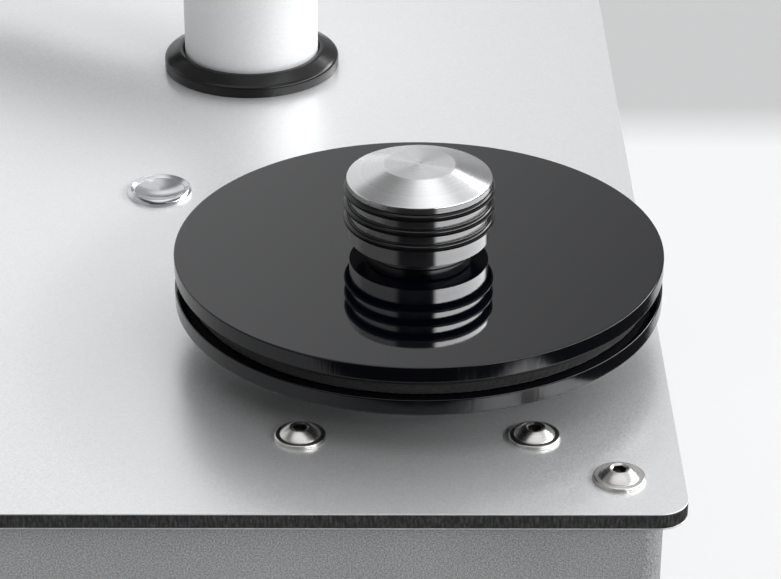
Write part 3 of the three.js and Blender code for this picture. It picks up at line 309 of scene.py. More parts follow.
def swept(path: np.ndarray, outer: float, bore: float, side: np.ndarray, count: int) -> Shell:
    """Carries a round tube along a flat curve: path + r (n cos a + side sin a), out and back.

    Args:
        path: points of the curve, (n, 3).
        outer: outside radius.
        bore: inside radius.
        side: unit vector square to the curve's plane.
        count: columns round the tube.

    Returns:
        The tube, with open bore.
    """
    tangent = np.gradient(path, axis=0)
    tangent /= np.linalg.norm(tangent, axis=1, keepdims=True)
    normal = np.cross(side[None], tangent)
    line = np.vstack([path, path[::-1]])
    across = np.vstack([normal, normal[::-1]])
    radius = np.repeat([outer, bore], len(path))[:, None, None]
    angle = np.linspace(0, 2 * math.pi, count, endpoint=False)[None, :, None]
    points = line[:, None] + radius * (across[:, None] * np.cos(angle) + side * np.sin(angle))
    return grid_shell(points, np.linspace(0, 1, count + 1), np.append(travelled(line), 0), True)


def block_shell(low: Sequence[float], high: Sequence[float], corner: float = 0.05) -> Shell:
    """A box between two corners, with a tiny flat on its upright edges.

    Args:
        low: Lowest corner.
        high: Highest corner.
        corner: Size of the flat.

    Returns:
        The closed surface.
    """
    (left, front, bottom), (right, back, top) = low, high
    sign = np.repeat(np.array([[1, 1], [-1, 1], [-1, -1], [1, -1]]), 2, 0)
    angle = np.repeat(np.arange(5), 2)[1:-1] * math.pi / 2
    normal = np.stack([np.cos(angle), np.sin(angle)], -1)
    half = np.array([(right - left) / 2, (back - front) / 2])
    centre = np.array([(left + right) / 2, (front + back) / 2])
    reach = np.array([0, corner, corner, 0])[:, None, None]
    flat = sign * (half - corner) + reach * normal + centre
    height = np.repeat([bottom, bottom, top, top], len(sign)).reshape(4, -1, 1)
    rim = np.vstack([flat[0], flat[0][:1]])
    section = np.array([(0, 0), (corner, 0), (corner, top - bottom), (0, top - bottom)])
    points = np.concatenate([flat, height], -1)
    return grid_shell(points, travelled(rim), np.append(travelled(section), 0), False)


# Nodes and finishes


class Nodes:
    """A node tree, with short ways to add and join nodes."""

    def __init__(self, tree: bpy.types.NodeTree) -> None:
        """Empties the tree."""
        self.tree = tree
        tree.nodes.clear()

    def node(
        self, kind: str, sockets: dict[str | int, object] | None = None, **settings: object
    ) -> bpy.types.Node:
        """Adds a node.

        Args:
            kind: the node's type after "ShaderNode".
            sockets: input name or place to a value or to another node's output.
            settings: the node's own properties.

        Returns:
            The node.
        """
        made = self.tree.nodes.new("ShaderNode" + kind)
        for name, value in settings.items():
            setattr(made, name, value)
        for key, value in (sockets or {}).items():
            self.join(value, made.inputs[key])
        return made

    def join(self, value: object, socket: Socket) -> None:
        """Links an output to a socket, or sets the socket to a value.

        Args:
            value: An output, or a plain value.
            socket: The socket that takes it.
        """
        if isinstance(value, Socket):
            self.tree.links.new(value, socket)
        else:
            socket.default_value = value

    def maths(self, operation: str, *values: Socket | float) -> Socket:
        """The result of a maths operation on values or other nodes' outputs."""
        return self.node("Math", dict(enumerate(values)), operation=operation).outputs[0]

    def ramp(
        self, value: Socket, start: float, end: float, low: float = 0.0, high: float = 1.0,
        kind: str = "LINEAR",
    ) -> Socket:
        """Maps a value's range from start to end to a range from low to high."""
        sockets = dict(enumerate((value, start, end, low, high)))
        return self.node("MapRange", sockets, interpolation_type=kind).outputs[0]


class Shading(Nodes):
    """One material's node tree, with the patterns that finishes are made of."""

    def __init__(self, name: str) -> None:
        """Starts a material of the given name with a Principled shader.

        Args:
            name: The material's name.
        """
        self.material = bpy.data.materials.new(name)
        self.material.use_nodes = True
        super().__init__(self.material.node_tree)
        self.shader = self.node("BsdfPrincipled")
        self.node("OutputMaterial", {0: self.shader.outputs[0]})

    def places(self, scale: float | Sequence[float] = 1, uv: bool = False) -> Socket:
        """Object coordinates, or the UV map, in patterns a metre: one number, or one an axis.

        Args:
            scale: Patterns a metre.
            uv: Whether the UV map is read.

        Returns:
            The coordinates.
        """
        source = self.node("TexCoord").outputs["UV" if uv else "Object"]
        scales = scale if isinstance(scale, Sequence) else [scale] * 3
        return self.node("Mapping", {"Vector": source, "Scale": scales}).outputs[0]

    def noise(
        self, scale: float | Sequence[float], detail: float = 3, rough: float = 0.5,
        uv: bool = False,
    ) -> Socket:
        """A soft noise, with its scale in patterns a metre.

        Args:
            scale: Patterns a metre.
            detail: Octaves of the noise.
            rough: Share that each octave keeps.
            uv: Whether the UV map is read.

        Returns:
            The noise.
        """
        sockets = {"Vector": self.places(scale, uv), "Scale": 1.0}
        made = self.node("TexNoise", {**sockets, "Detail": detail, "Roughness": rough})
        return made.outputs["Fac"]

    def cells(self, scale: float, result: str, feature: str = "F1") -> Socket:
        """A pattern of cells, with its scale in patterns a metre."""
        sockets = {"Vector": self.places(scale), "Scale": 1.0}
        return self.node("TexVoronoi", sockets, feature=feature).outputs[result]

    def upward(self) -> Socket:
        """The upward part of the surface's normal."""
        return self.node("SeparateXYZ", {0: self.node("NewGeometry").outputs["Normal"]}).outputs[2]

    def between(self, value: Socket, low: float, high: float) -> Socket:
        """Maps a noise's middle range, 0.3 to 0.7, to a range of its own."""
        return self.ramp(value, 0.3, 0.7, low, high)

    def blend(self, share: Socket | float, first: Socket, second: Socket) -> Socket:
        """A number between two, by a share from 0 to 1."""
        return self.node("Mix", {0: share, 2: first, 3: second}, data_type="FLOAT").outputs[0]

    def tint(self, share: Socket, first: Socket | Colour, second: Socket | Colour) -> Socket:
        """A colour between two, by a share from 0 to 1."""
        a, b = (c if isinstance(c, Socket) else (*c, 1) for c in (first, second))
        return self.node("Mix", {0: share, 6: a, 7: b}, data_type="RGBA").outputs[2]

    def bump(self, height: Socket, depth: float) -> Socket:
        """A normal bent by a height from 0 to 1, where 1 stands for the depth in millimetres."""
        sockets = {"Height": height, "Distance": depth * METRES, "Strength": 1.0}
        return self.node("Bump", sockets).outputs[0]

    def wire(self, **inputs: object) -> bpy.types.Material:
        """Sets the shader's sockets, where an underscore in a name stands for a space.

        Args:
            inputs: a value or a socket for each input.

        Returns:
            The finished material.
        """
        for name, value in inputs.items():
            self.join(value, self.shader.inputs[name.replace("_", " ")])
        return self.material


def grey(value: float, warm: float = 0.0) -> Colour:
    """A linear grey, a little warmer or cooler."""
    return (value * (1 + warm), value, value * (1 - warm))


def scaled(colour: Colour, share: float) -> Colour:
    """A colour times a share, at most white."""
    return tuple(min(c * share, 1.0) for c in colour)


def per_metre(size: float) -> float:
    """How many patterns of a size in millimetres a metre holds."""
    return 1 / (size * METRES)


class Finish(Protocol):
    """What every finish has: a name, and a way to make its material."""

    name: str

    def material(self) -> bpy.types.Material:
        """The finish's material."""


@dataclass(frozen=True)
class PowderCoat:
    """Fine-textured powder coat: tiny rounded bumps, with a slow change of tone."""

    name: str = "powder_coat_grey"
    tone: float = 0.31
    contrast: float = 0.5
    grain: float = 0.37
    depth: float = 0.09
    roughness: float = 0.5
    slow_share: float = 0.1
    slow_scale: float = 28

    def material(self) -> bpy.types.Material:
        """The coat's material.

        Returns:
            A new material of this finish.
        """
        s = Shading(self.name)
        fine = s.noise(per_metre(self.grain), 2, 0.45)
        speck = s.blend(self.slow_share, fine, s.noise(self.slow_scale))
        dark, light = (self.tone * (1 + side * self.contrast) for side in (-1, 1))
        return s.wire(
            Base_Color=s.tint(s.between(speck, 0, 1), grey(dark), grey(light, -0.01)),
            Roughness=s.between(fine, self.roughness - 0.07, self.roughness + 0.09),
            Normal=s.bump(fine, self.depth),
            Metallic=0.0,
        )


@dataclass(frozen=True)
class MetallicPaint:
    """Fine metallic silver: flakes that each lean a little and catch the light."""

    name: str = "metallic_silver"
    tone: float = 0.87
    flake: float = 0.26
    lean: float = 0.07
    roughness: float = 0.33
    metal: float = 0.68

    def material(self) -> bpy.types.Material:
        """The paint's material; a flake's normal is N + lean (random - 0.5), made unit again.

        Returns:
            A new material of this finish.
        """
        s = Shading(self.name)
        cells = s.cells(per_metre(self.flake), "Color")

        def vector(operation: str, sockets: dict[int, object]) -> Socket:
            """The result of a vector operation."""
            return s.node("VectorMath", sockets, operation=operation).outputs[0]

        centred = vector("SUBTRACT", {0: cells, 1: (0.5, 0.5, 0.5)})
        leaned = vector("SCALE", {0: centred, 3: self.lean})
        summed = vector("ADD", {0: s.node("NewGeometry").outputs["Normal"], 1: leaned})
        random = s.node("SeparateColor", {"Color": cells}).outputs[0]
        dark, light = grey(self.tone * 0.95, -0.004), grey(min(self.tone * 1.05, 1.0), -0.008)
        return s.wire(
            Base_Color=s.tint(random, dark, light),
            Metallic=self.metal,
            Roughness=s.ramp(random, 0, 1, self.roughness - 0.04, self.roughness + 0.05),
            Normal=vector("NORMALIZE", {0: summed}),
        )


@dataclass(frozen=True)
class SawnCore:
    """Sawn edge of the sheet's polyethylene core: fine marks along the cut."""

    name: str = "sawn_core"
    dark: float = 0.0216
    light: float = 0.0756
    depth: float = 0.2
    mark_scale: Triple = (1500, 1500, 900)
    chip_scale: Triple = (1900, 1900, 420)

    def material(self) -> bpy.types.Material:
        """The core's material.

        Returns:
            A new material of this finish.
        """
        s = Shading(self.name)
        marks = s.noise(self.mark_scale, 4, 0.7)
        chips = s.noise(self.chip_scale, 1)
        both = s.maths("MULTIPLY", marks, chips)
        return s.wire(
            Base_Color=s.tint(s.ramp(both, 0.2, 0.42), grey(self.dark), grey(self.light)),
            Roughness=s.between(marks, 0.35, 0.6),
            Normal=s.bump(both, self.depth),
            Specular_IOR_Level=0.4,
        )


@dataclass(frozen=True)
class TurnedMetal:
    """Metal off the lathe: fine marks that run round the piece, with anisotropic shine.

    Faces that look up are rougher by `facing`. Where `hollow` is given, shade is painted beyond
    that length in metres
    along the profile: a socket's inside is coloured dark rather than shaded by the light.
    """

    name: str
    colour: Colour
    roughness: float = 0.3
    stretch: float = 0.85
    facing: float = 0.0
    # painted shade in a socket: where it starts along the profile, its soft edge and its colour
    hollow: float = 0.0
    painted_shade_edge: float = 0.0003
    painted_shade_colour: Colour = (0.1, 0.096, 0.088)
    pitch: float = 0.12
    band_pitches: float = 9.0
    depth: float = 0.0006

    def material(self) -> bpy.types.Material:
        """The metal's material, which reads the piece's UV map.

        Returns:
            A new material of this finish.
        """
        s = Shading(self.name)
        scale = per_metre(self.pitch)
        marks = s.noise((0, scale, 1), 3, 0.6, uv=True)
        bands = s.noise((0, scale / self.band_pitches, 1), 2, uv=True)
        dark, light = scaled(self.colour, 0.95), scaled(self.colour, 1.03)
        colour = s.tint(s.between(bands, 0, 1), dark, light)
        # painted shade: beyond the socket's depth along the profile the colour turns dark
        if self.hollow:
            along = s.node("SeparateXYZ", {0: s.node("TexCoord").outputs["UV"]}).outputs[1]
            painted_shade = s.ramp(along, self.hollow, self.hollow + self.painted_shade_edge)
            colour = s.tint(painted_shade, colour, self.painted_shade_colour)
        rough = s.between(marks, self.roughness - 0.03, self.roughness + 0.05)
        return s.wire(
            Base_Color=colour,
            Metallic=1.0,
            Roughness=s.maths("ADD", rough, s.ramp(s.upward(), 0.3, 0.9, 0, self.facing)),
            Anisotropic=self.stretch,
            Anisotropic_Rotation=0.25,
            Tangent=s.node("Tangent", direction_type="UV_MAP").outputs[0],
            Normal=s.bump(marks, self.depth),
        )


@dataclass(frozen=True)
class PolishedMetal:
    """Bright metal with faint wiping marks and a few small dull patches."""

    name: str
    colour: Colour
    roughness: float = 0.12
    grain: float = 0.6
    patch_scale: float = 220
    depth: float = 0.0012

    def material(self) -> bpy.types.Material:
        """The metal's material.

        Returns:
            A new material of this finish.
        """
        s = Shading(self.name)
        fine = s.noise(per_metre(self.grain), 4, 0.6)
        patches = s.between(s.noise(self.patch_scale, 2), 0, 1)
        return s.wire(
            Base_Color=s.tint(patches, scaled(self.colour, 0.92), self.colour),
            Metallic=1.0,
            Roughness=s.between(fine, self.roughness * 0.7, self.roughness * 1.6),
            Normal=s.bump(fine, self.depth),
        )


@dataclass(frozen=True)
class CastAcrylic:
    """Polished black cast acrylic: near-mirror faces, with fine saw marks across its rim."""

    name: str = "black_acrylic"
    colour: Colour = (0.0007, 0.0009, 0.0022)
    face_rough: tuple[float, float] = (0.015, 0.045)
    rim_rough: tuple[float, float] = (0.12, 0.5)
    haze_scale: float = 60
    mark_scale: Triple = (420, 30, 1)
    broad_scale: Triple = (46, 6, 1)
    depth: float = 0.11

    def material(self) -> bpy.types.Material:
        """The acrylic's material; rim marks follow the UV map's angle and end on the faces.

        Returns:
            A new material of this finish.
        """
        s = Shading(self.name)
        rim = s.ramp(s.maths("ABSOLUTE", s.upward()), 0.0, 0.9, 1.0, 0.0)
        marks = s.noise(self.mark_scale, 4, 0.65, uv=True)
        streaks = s.maths("MULTIPLY", marks, s.noise(self.broad_scale, 2, uv=True))
        face = s.between(s.noise(self.haze_scale, 4, 0.6), *self.face_rough)
        return s.wire(
            Base_Color=(*self.colour, 1),
            Roughness=s.blend(rim, face, s.between(streaks, *self.rim_rough)),
            IOR=1.49,
            Normal=s.bump(s.maths("MULTIPLY", streaks, rim), self.depth),
        )


@dataclass(frozen=True)
class Foam:
    """Matt felt and fine-celled foam: fibre and cell grain at two scales."""

    name: str = "black_foam"
    tone: float = 0.012
    cell: float = 0.4
    fibre_scale: float = 2600
    depth: float = 0.16

    def material(self) -> bpy.types.Material:
        """The foam's material.

        Returns:
            A new material of this finish.
        """
        s = Shading(self.name)
        cells = s.cells(per_metre(self.cell), "Distance")
        fibre = s.noise(self.fibre_scale, 4, 0.7)
        dark, light = grey(self.tone * 0.5), grey(self.tone * 3.2)
        return s.wire(
            Base_Color=s.tint(s.between(fibre, 0, 1), dark, light),
            Roughness=0.92,
            Sheen_Weight=0.2,
            Sheen_Roughness=0.5,
            Specular_IOR_Level=0.25,
            Normal=s.bump(s.maths("MULTIPLY", cells, fibre), self.depth),
        )


@dataclass(frozen=True)
class Moulded:
    """Moulded plastic or rubber: fine spark texture and a slow change of tone."""

    name: str
    colour: Colour
    roughness: float = 0.4
    grain: float = 0.45
    depth: float = 0.015
    shine: float = 0.5
    slow_scale: float = 35

    def material(self) -> bpy.types.Material:
        """The skin's material.

        Returns:
            A new material of this finish.
        """
        s = Shading(self.name)
        fine = s.noise(per_metre(self.grain))
        slow = s.between(s.noise(self.slow_scale), 0, 1)
        return s.wire(
            Base_Color=s.tint(slow, scaled(self.colour, 0.85), scaled(self.colour, 1.18)),
            Roughness=s.between(fine, self.roughness * 0.85, self.roughness * 1.2),
            Specular_IOR_Level=self.shine,
            Normal=s.bump(fine, self.depth),
        )


@dataclass(frozen=True)
class InletPlastic:
    """Moulded inlet body with bright pins: inside the box from low to high it is tinned brass."""

    name: str = "inlet_plastic"
    tone: float = 0.012
    pins: Colour = (0.62, 0.56, 0.42)
    low: Triple = (60.5, 136.7, 54.0)
    high: Triple = (79.5, 146.0, 66.0)
    grain: float = 0.45
    depth: float = 0.015

    def material(self) -> bpy.types.Material:
        """The inlet's material.

        Returns:
            A new material of this finish.
        """
        s = Shading(self.name)
        split = s.node("SeparateXYZ", {0: s.places()})
        fine = s.noise(per_metre(self.grain))
        near = [
            s.maths("COMPARE", place, (low + high) / 2 * METRES, (high - low) / 2 * METRES)
            for place, low, high in zip(split.outputs, self.low, self.high)
        ]
        inside = reduce(lambda a, b: s.maths("MULTIPLY", a, b), near)
        return s.wire(
            Base_Color=s.tint(inside, grey(self.tone), self.pins),
            Metallic=inside,
            Roughness=s.between(fine, 0.28, 0.42),
            Normal=s.bump(fine, self.depth),
        )


@dataclass(frozen=True)
class NaturalPolyethylene:
    """Milky tank plastic: light sinks in a little, over a faint flow pattern."""

    name: str = "natural_polyethylene"
    dark: Colour = (0.66, 0.67, 0.63)
    light: Colour = (0.78, 0.79, 0.75)
    flow_scale: Triple = (40, 40, 9)
    depth: float = 0.05

    def material(self) -> bpy.types.Material:
        """The plastic's material.

        Returns:
            A new material of this finish.
        """
        s = Shading(self.name)
        flow = s.noise(self.flow_scale, 4, 0.6)
        return s.wire(
            Base_Color=s.tint(s.between(flow, 0, 1), self.dark, self.light),
            Roughness=s.between(flow, 0.32, 0.46),
            Subsurface_Weight=0.25,
            Subsurface_Scale=0.004,
            Normal=s.bump(flow, self.depth),
        )


@dataclass(frozen=True)
class ClearVinyl:
    """Clear vinyl tube, faintly milky, with drawing marks along it."""

    name: str = "clear_vinyl"
    dark: Colour = (0.84, 0.9, 0.9)
    light: Colour = (0.93, 0.96, 0.96)
    drawn_scale: Triple = (30, 25, 1)
    depth: float = 0.02

    def material(self) -> bpy.types.Material:
        """The vinyl's material.

        Returns:
            A new material of this finish.
        """
        s = Shading(self.name)
        drawn = s.noise(self.drawn_scale, uv=True)
        return s.wire(
            Base_Color=s.tint(s.between(drawn, 0, 1), self.dark, self.light),
            Roughness=s.between(drawn, 0.06, 0.14),
            Transmission_Weight=0.85,
            IOR=1.5,
            Normal=s.bump(drawn, self.depth),
        )


@dataclass(frozen=True)
class CircuitLacquer:
    """Green solder mask over copper tracks, and above the board's top dark lacquered windings."""

    name: str = "circuit_lacquer"
    board_top: float = 24.0
    mask: tuple[Colour, Colour] = ((0.012, 0.07, 0.03), (0.03, 0.13, 0.06))
    core: tuple[Colour, Colour] = ((0.05, 0.045, 0.04), (0.11, 0.1, 0.09))
    track_scale: float = 260
    track_width: float = 0.06
    layer_scale: Triple = (60, 60, 2400)
    depth: float = 0.05

    def material(self) -> bpy.types.Material:
        """The board's material.

        Returns:
            A new material of this finish.
        """
        s = Shading(self.name)
        height = s.node("SeparateXYZ", {0: s.places()}).outputs[2]
        above = s.maths("GREATER_THAN", height, self.board_top * METRES)
        edges = s.cells(self.track_scale, "Distance", "DISTANCE_TO_EDGE")
        line = s.maths("LESS_THAN", edges, self.track_width)
        layers = s.noise(self.layer_scale, 2)
        core = s.tint(s.between(layers, 0, 1), *self.core)
        return s.wire(
            Base_Color=s.tint(above, s.tint(line, *self.mask), core),
            Roughness=s.between(layers, 0.35, 0.5),
            Normal=s.bump(line, self.depth),
        )


class Finishes:
    """The machine's materials, each made once when a piece first asks for it."""

    STAINLESS = (0.66, 0.65, 0.63)
    STEEL = (0.36, 0.36, 0.365)
    BRASS = (0.66, 0.46, 0.17)
    CHROME = (0.72, 0.74, 0.75)
    TURNED_ALUMINIUM = (0.7, 0.7, 0.705)
    CAST_ALUMINIUM = (0.55, 0.55, 0.56)

    def __init__(self) -> None:
        """Lists the finishes by name."""
        self._made: dict[str, bpy.types.Material] = {}
        self.coat = PowderCoat()
        self.silver = MetallicPaint()
        self.core = SawnCore()
        self.knob_metal = TurnedMetal(
            "turned_aluminium", self.TURNED_ALUMINIUM, 0.2, 0.88, facing=0.07
        )
        self.satin_metal = MetallicPaint("satin_aluminium", 0.88, 0.2, 0.03, 0.5, 0.2)
        self.dark_steel = TurnedMetal("turned_steel", self.STEEL, 0.3, 0.6)
        # the screws' sockets get painted shade beyond 0.0222 m along the profile
        self.stainless = TurnedMetal("stainless_steel", self.STAINLESS, 0.28, 0.5, hollow=0.0222)
        self.chrome = PolishedMetal("chromed_brass", self.CHROME, 0.13)
        self.plain_steel = PolishedMetal("plain_steel", self.STEEL, 0.34)
        self.brass = TurnedMetal("turned_brass", self.BRASS, 0.28, 0.5)
        self.cast_brass = PolishedMetal("cast_brass", self.BRASS, 0.24, 0.9)
        self.cast_aluminium = PolishedMetal("cast_aluminium", self.CAST_ALUMINIUM, 0.42)
        self.acrylic = CastAcrylic()
        self.foam = Foam()
        self.ring_rubber = Moulded("ring_rubber", grey(0.005), 0.18, 0.8, 0.004, 0.4)
        self.gland_gloss = Moulded("gland_gloss", grey(0.008), 0.2, 1.2, 0.004, 0.28)
        self.foot_rubber = Moulded("foot_rubber", grey(0.014), 0.55)
        self.hose_rubber = Moulded("hose_rubber", grey(0.016), 0.5)
        self.black_plastic = Moulded("black_plastic", grey(0.012), 0.36)
        self.grey_plastic = Moulded("grey_plastic", grey(0.2), 0.42)
        self.inlet = InletPlastic()
        self.tank = NaturalPolyethylene()
        self.clear = ClearVinyl()
        self.circuit = CircuitLacquer()

    def material(self, finish: Finish) -> bpy.types.Material:
        """The finish's material.

        Args:
            finish: The finish asked for.

        Returns:
            Its material.
        """
        if finish.name not in self._made:
            self._made[finish.name] = finish.material()
        return self._made[finish.name]


# Pieces


@dataclass
class Placing:
    """Which node a piece stands for, its slot, finish and body, and its sharp edges' angle."""

    node: str
    slot: Slot
    finish: Finish
    body: Body = Body.ROOT
    sharp: float = SHARP


def linked(name: str, data: bpy.types.ID) -> bpy.types.Object:
    """A new object of a mesh, lamp or camera, linked to the scene.

    Args:
        name: The object's name.
        data: The mesh, lamp or camera.

    Returns:
        The object.
    """
    obj = bpy.data.objects.new(name, data)
    bpy.context.scene.collection.objects.link(obj)
    return obj


def settle(obj: bpy.types.Object, placing: Placing, finishes: Finishes) -> None:
    """Gives a new object its finish, smooth faces and body, and hides the node it stands for.

    Args:
        obj: The piece.
        placing: What is said of the piece.
        finishes: The materials.
    """
    mesh = obj.data
    mesh.materials.clear()
    mesh.materials.append(finishes.material(placing.finish))
    mesh.polygons.foreach_set("use_smooth", np.ones(len(mesh.polygons), bool))
    mesh.polygons.foreach_set("material_index", np.zeros(len(mesh.polygons), np.int32))
    mesh.set_sharp_from_angle(angle=math.radians(placing.sharp))
    obj.modifiers.new("even_shading", "WEIGHTED_NORMAL").keep_sharp = True
    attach(obj, placing.body.value)
    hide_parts(placing.node)
    log.info("%s: %d faces", obj.name, len(mesh.polygons))


def raw_object(name: str, shell: Shell) -> bpy.types.Object:
    """An object of a surface, in metres, linked to the scene, with its UV map.

    Args:
        name: The piece's name.
        shell: Its surface, in millimetres.

    Returns:
        The object.
    """
    mesh = bpy.data.meshes.new(name)
    mesh.from_pydata((shell.points * METRES).tolist(), [], shell.faces)
    layer = mesh.uv_layers.new(name="surface")
    layer.uv.foreach_set("vector", shell.uvs.astype(np.float32).ravel())
    mesh.update()
    return linked(name, mesh)


def carve(obj: bpy.types.Object, cutter: Shell) -> None:
    """Cuts a closed surface out of an object, which gets a new mesh.

    Args:
        obj: The piece.
        cutter: The closed surface.
    """
    tool = raw_object(obj.name + "_cutter", cutter)
    step = obj.modifiers.new("cut", "BOOLEAN")
    step.object = tool
    step.operation = "DIFFERENCE"
    step.solver = "EXACT"
    bpy.context.view_layer.update()
    graph = bpy.context.evaluated_depsgraph_get()
    result = bpy.data.meshes.new_from_object(obj.evaluated_get(graph))
    obj.modifiers.clear()
    obj.data = result
    spent = tool.data
    bpy.data.objects.remove(tool)
    bpy.data.meshes.remove(spent)


def machined(placing: Placing, finishes: Finishes, edge: float) -> None:
    """Adds a merged copy of a CAD node with broken edges and smooth round faces.

    Args:
        placing: the node and where the copy belongs.
        finishes: the machine's materials.
        edge: width of the broken edges in millimetres.
    """
    weld, flat_angle = 1e-6, math.radians(0.6)
    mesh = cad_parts[placing.node].data.copy()
    work = bmesh.new()
    work.from_mesh(mesh)
    bmesh.ops.remove_doubles(work, verts=work.verts, dist=weld)
    bmesh.ops.dissolve_limit(work, angle_limit=flat_angle, verts=work.verts, edges=work.edges)
    work.to_mesh(mesh)
    work.free()
    obj = linked(placing.node + "_fine", mesh)
    bevel = obj.modifiers.new("broken_edge", "BEVEL")
    bevel.width = edge * METRES
    bevel.segments = 2
    bevel.limit_method = "ANGLE"
    bevel.angle_limit = math.radians(placing.sharp)
    settle(obj, placing, finishes)


def middle(node: str) -> np.ndarray:
    """The centre of a CAD node's box, in millimetres."""
    low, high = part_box(node)
    return (np.array(low) + np.array(high)) / 2 / METRES


def heights(node: str) -> tuple[float, float]:
    """A CAD node's lowest and highest height, in millimetres."""
    low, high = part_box(node)
    return low.z / METRES, high.z / METRES


# Sub-assemblies


@dataclass
class SubAssembly:
    """A group of pieces that are built and dressed together."""

    finishes: Finishes

    def build(self) -> None:
        """Builds every piece of the group."""
        raise NotImplementedError

    def copied(self, edge: float, *placings: Placing) -> None:
        """Adds copies of CAD nodes with broken edges of one width."""
        for placing in placings:
            machined(placing, self.finishes, edge)

    def add(self, shell: Shell, placing: Placing, cutters: Sequence[Shell] = ()) -> None:
        """Adds a surface as a piece, with closed surfaces cut out of it.

        Args:
            shell: The surface.
            placing: What is said of the piece.
            cutters: The closed surfaces.
        """
        obj = raw_object(placing.node + "_fine", shell)
        for cutter in cutters:
            carve(obj, cutter)
        settle(obj, placing, self.finishes)

    def on_axis(self, shell: Shell, placing: Placing) -> None:
        """Adds a turned surface on the upright axis of the CAD node that it stands for."""
        x, y, _ = middle(placing.node)
        self.add(shell.moved(x, y), placing)


@dataclass
class Housing(SubAssembly):
    """Folded steel casing on a floor plate with four rubber feet."""

    edge: float = 0.3
    foot_height: float = 12.0
    foot_top: float = 13.0
    foot_base: float = 11.0
    foot_band: float = 1.2
    foot_ease: float = 1.4
    recess: float = 5.0
    recess_depth: float = 6.0

    def foot(self) -> Shell:
        """Turns a foot, with its screw's recess underneath.

        Returns:
            The piece's surface.
        """
        return lathe([
            (0, self.recess_depth, 0), (self.recess, self.recess_depth, 0.3),
            (self.recess, 0, 0.5), (self.foot_base, 0, self.foot_ease),
            (self.foot_top, self.foot_height - self.foot_band, 0.6),
            (self.foot_top, self.foot_height, 0.4), (0, self.foot_height, 0),
        ], Columns.SMALL)

    def build(self) -> None:
        """Builds the casing, floor plate and feet."""
        f = self.finishes
        plates = ("housing_shell", "floor_plate")
        self.copied(self.edge, *(Placing(node, Slot.HOUSING, f.coat) for node in plates))
        for corner in CORNERS:
            self.on_axis(self.foot(), Placing("foot_" + corner, Slot.RUBBER, f.foot_rubber))


@dataclass
class TopPanel(SubAssembly):
    """Composite sheet: two thin bright skins on a black core."""

    skin_edge: float = 0.08
    core_edge: float = 0.12

    def build(self) -> None:
        """Builds the three layers."""
        f = self.finishes
        self.copied(self.skin_edge, Placing("top_panel_skin", Slot.SILVER, f.silver))
        self.copied(self.core_edge, Placing("top_panel_core", Slot.CORE, f.core))
        self.copied(self.skin_edge, Placing("top_panel_backing", Slot.SILVER, f.silver))


@dataclass
class Fasteners(SubAssembly):
    """Eight flange button screws on washers, each with a hexagon socket."""

    shank: float = 2.5
    shank_length: float = 10.0
    washer: float = 6.15
    washer_top: float = 0.4
    gap_depth: float = 0.12
    gap_height: float = 0.06
    flange: float = 6.05
    flange_top: float = 1.0
    flange_lip: float = 0.25
    dome: float = 4.7
    dome_height: float = 1.9
    dome_step: float = 0.12
    dome_foot: float = 0.1
    fullness: float = 0.24
    flat: float = 2.42
    across_flats: float = 3.0
    mouth_width: float = 0.36
    mouth_depth: float = 0.3
    socket_depth: float = 1.5
    drill_share: float = 0.82
    drill_depth: float = 0.6
    sharp: float = 28.0
    slope_points: int = 9
    turns: tuple[float, ...] = (12, 41, 25, 3, 33, 8, 50, 19)

    def screw(self) -> Shell:
        """Turns one screw on its washer, seated at height zero.

        The head's slope is a little full: at a share t of its width, t + fullness t (1 - t) of its
        height.

        Returns:
            The piece's surface.
        """
        top = self.flange_top + self.dome_height
        t = np.linspace(0, 1, self.slope_points)
        rise = t + self.fullness * t * (1 - t)
        slope = np.column_stack([
            self.dome + (self.flat - self.dome) * t,
            self.flange_top + self.dome_step + (self.dome_height - self.dome_step) * rise,
            np.zeros_like(t),
        ])
        half = self.across_flats / 2
        mouth = half / math.cos(math.pi / 6)
        gap_top = self.washer_top + self.gap_height
        floor = top - self.socket_depth
        profile = [
            (0, -self.shank_length, 0), (self.shank, -self.shank_length, 0.4),
            (self.shank, GLUE, 0), (self.washer, GLUE, 0.12),
            (self.washer, self.washer_top, 0.14),
            (self.flange - self.gap_depth, self.washer_top, 0),
            (self.flange - self.gap_depth, gap_top, 0), (self.flange, gap_top, 0.05),
            (self.flange, self.flange_top - self.flange_lip, 0.15),
            (self.flange - self.flange_lip, self.flange_top, 0.2),
            (self.dome + self.dome_foot, self.flange_top, 0), *slope[:-1], (self.flat, top, 0.12),
            (mouth + self.mouth_width, top, 0.05), (half, top - self.mouth_depth, 0),
            (half, floor, 0), (half * self.drill_share, floor, 0),
            (0, floor - self.drill_depth, 0),
        ]
        hexagon = hex_reach(self.across_flats, floor, top - self.mouth_depth)
        return lathe(profile, Columns.MIDDLE, reach=hexagon)

    def build(self) -> None:
        """Places a screw, turned its own way, at each of the eight nodes."""
        screw = self.screw().moved(z=PANEL_TOP)
        nodes = [stem + corner for stem in ("panel_screw_", "drive_screw_") for corner in CORNERS]
        for node, turn in zip(nodes, self.turns):
            placing = Placing(node, Slot.STAINLESS, self.finishes.stainless, sharp=self.sharp)
            self.on_axis(screw.turned(math.radians(turn)), placing)


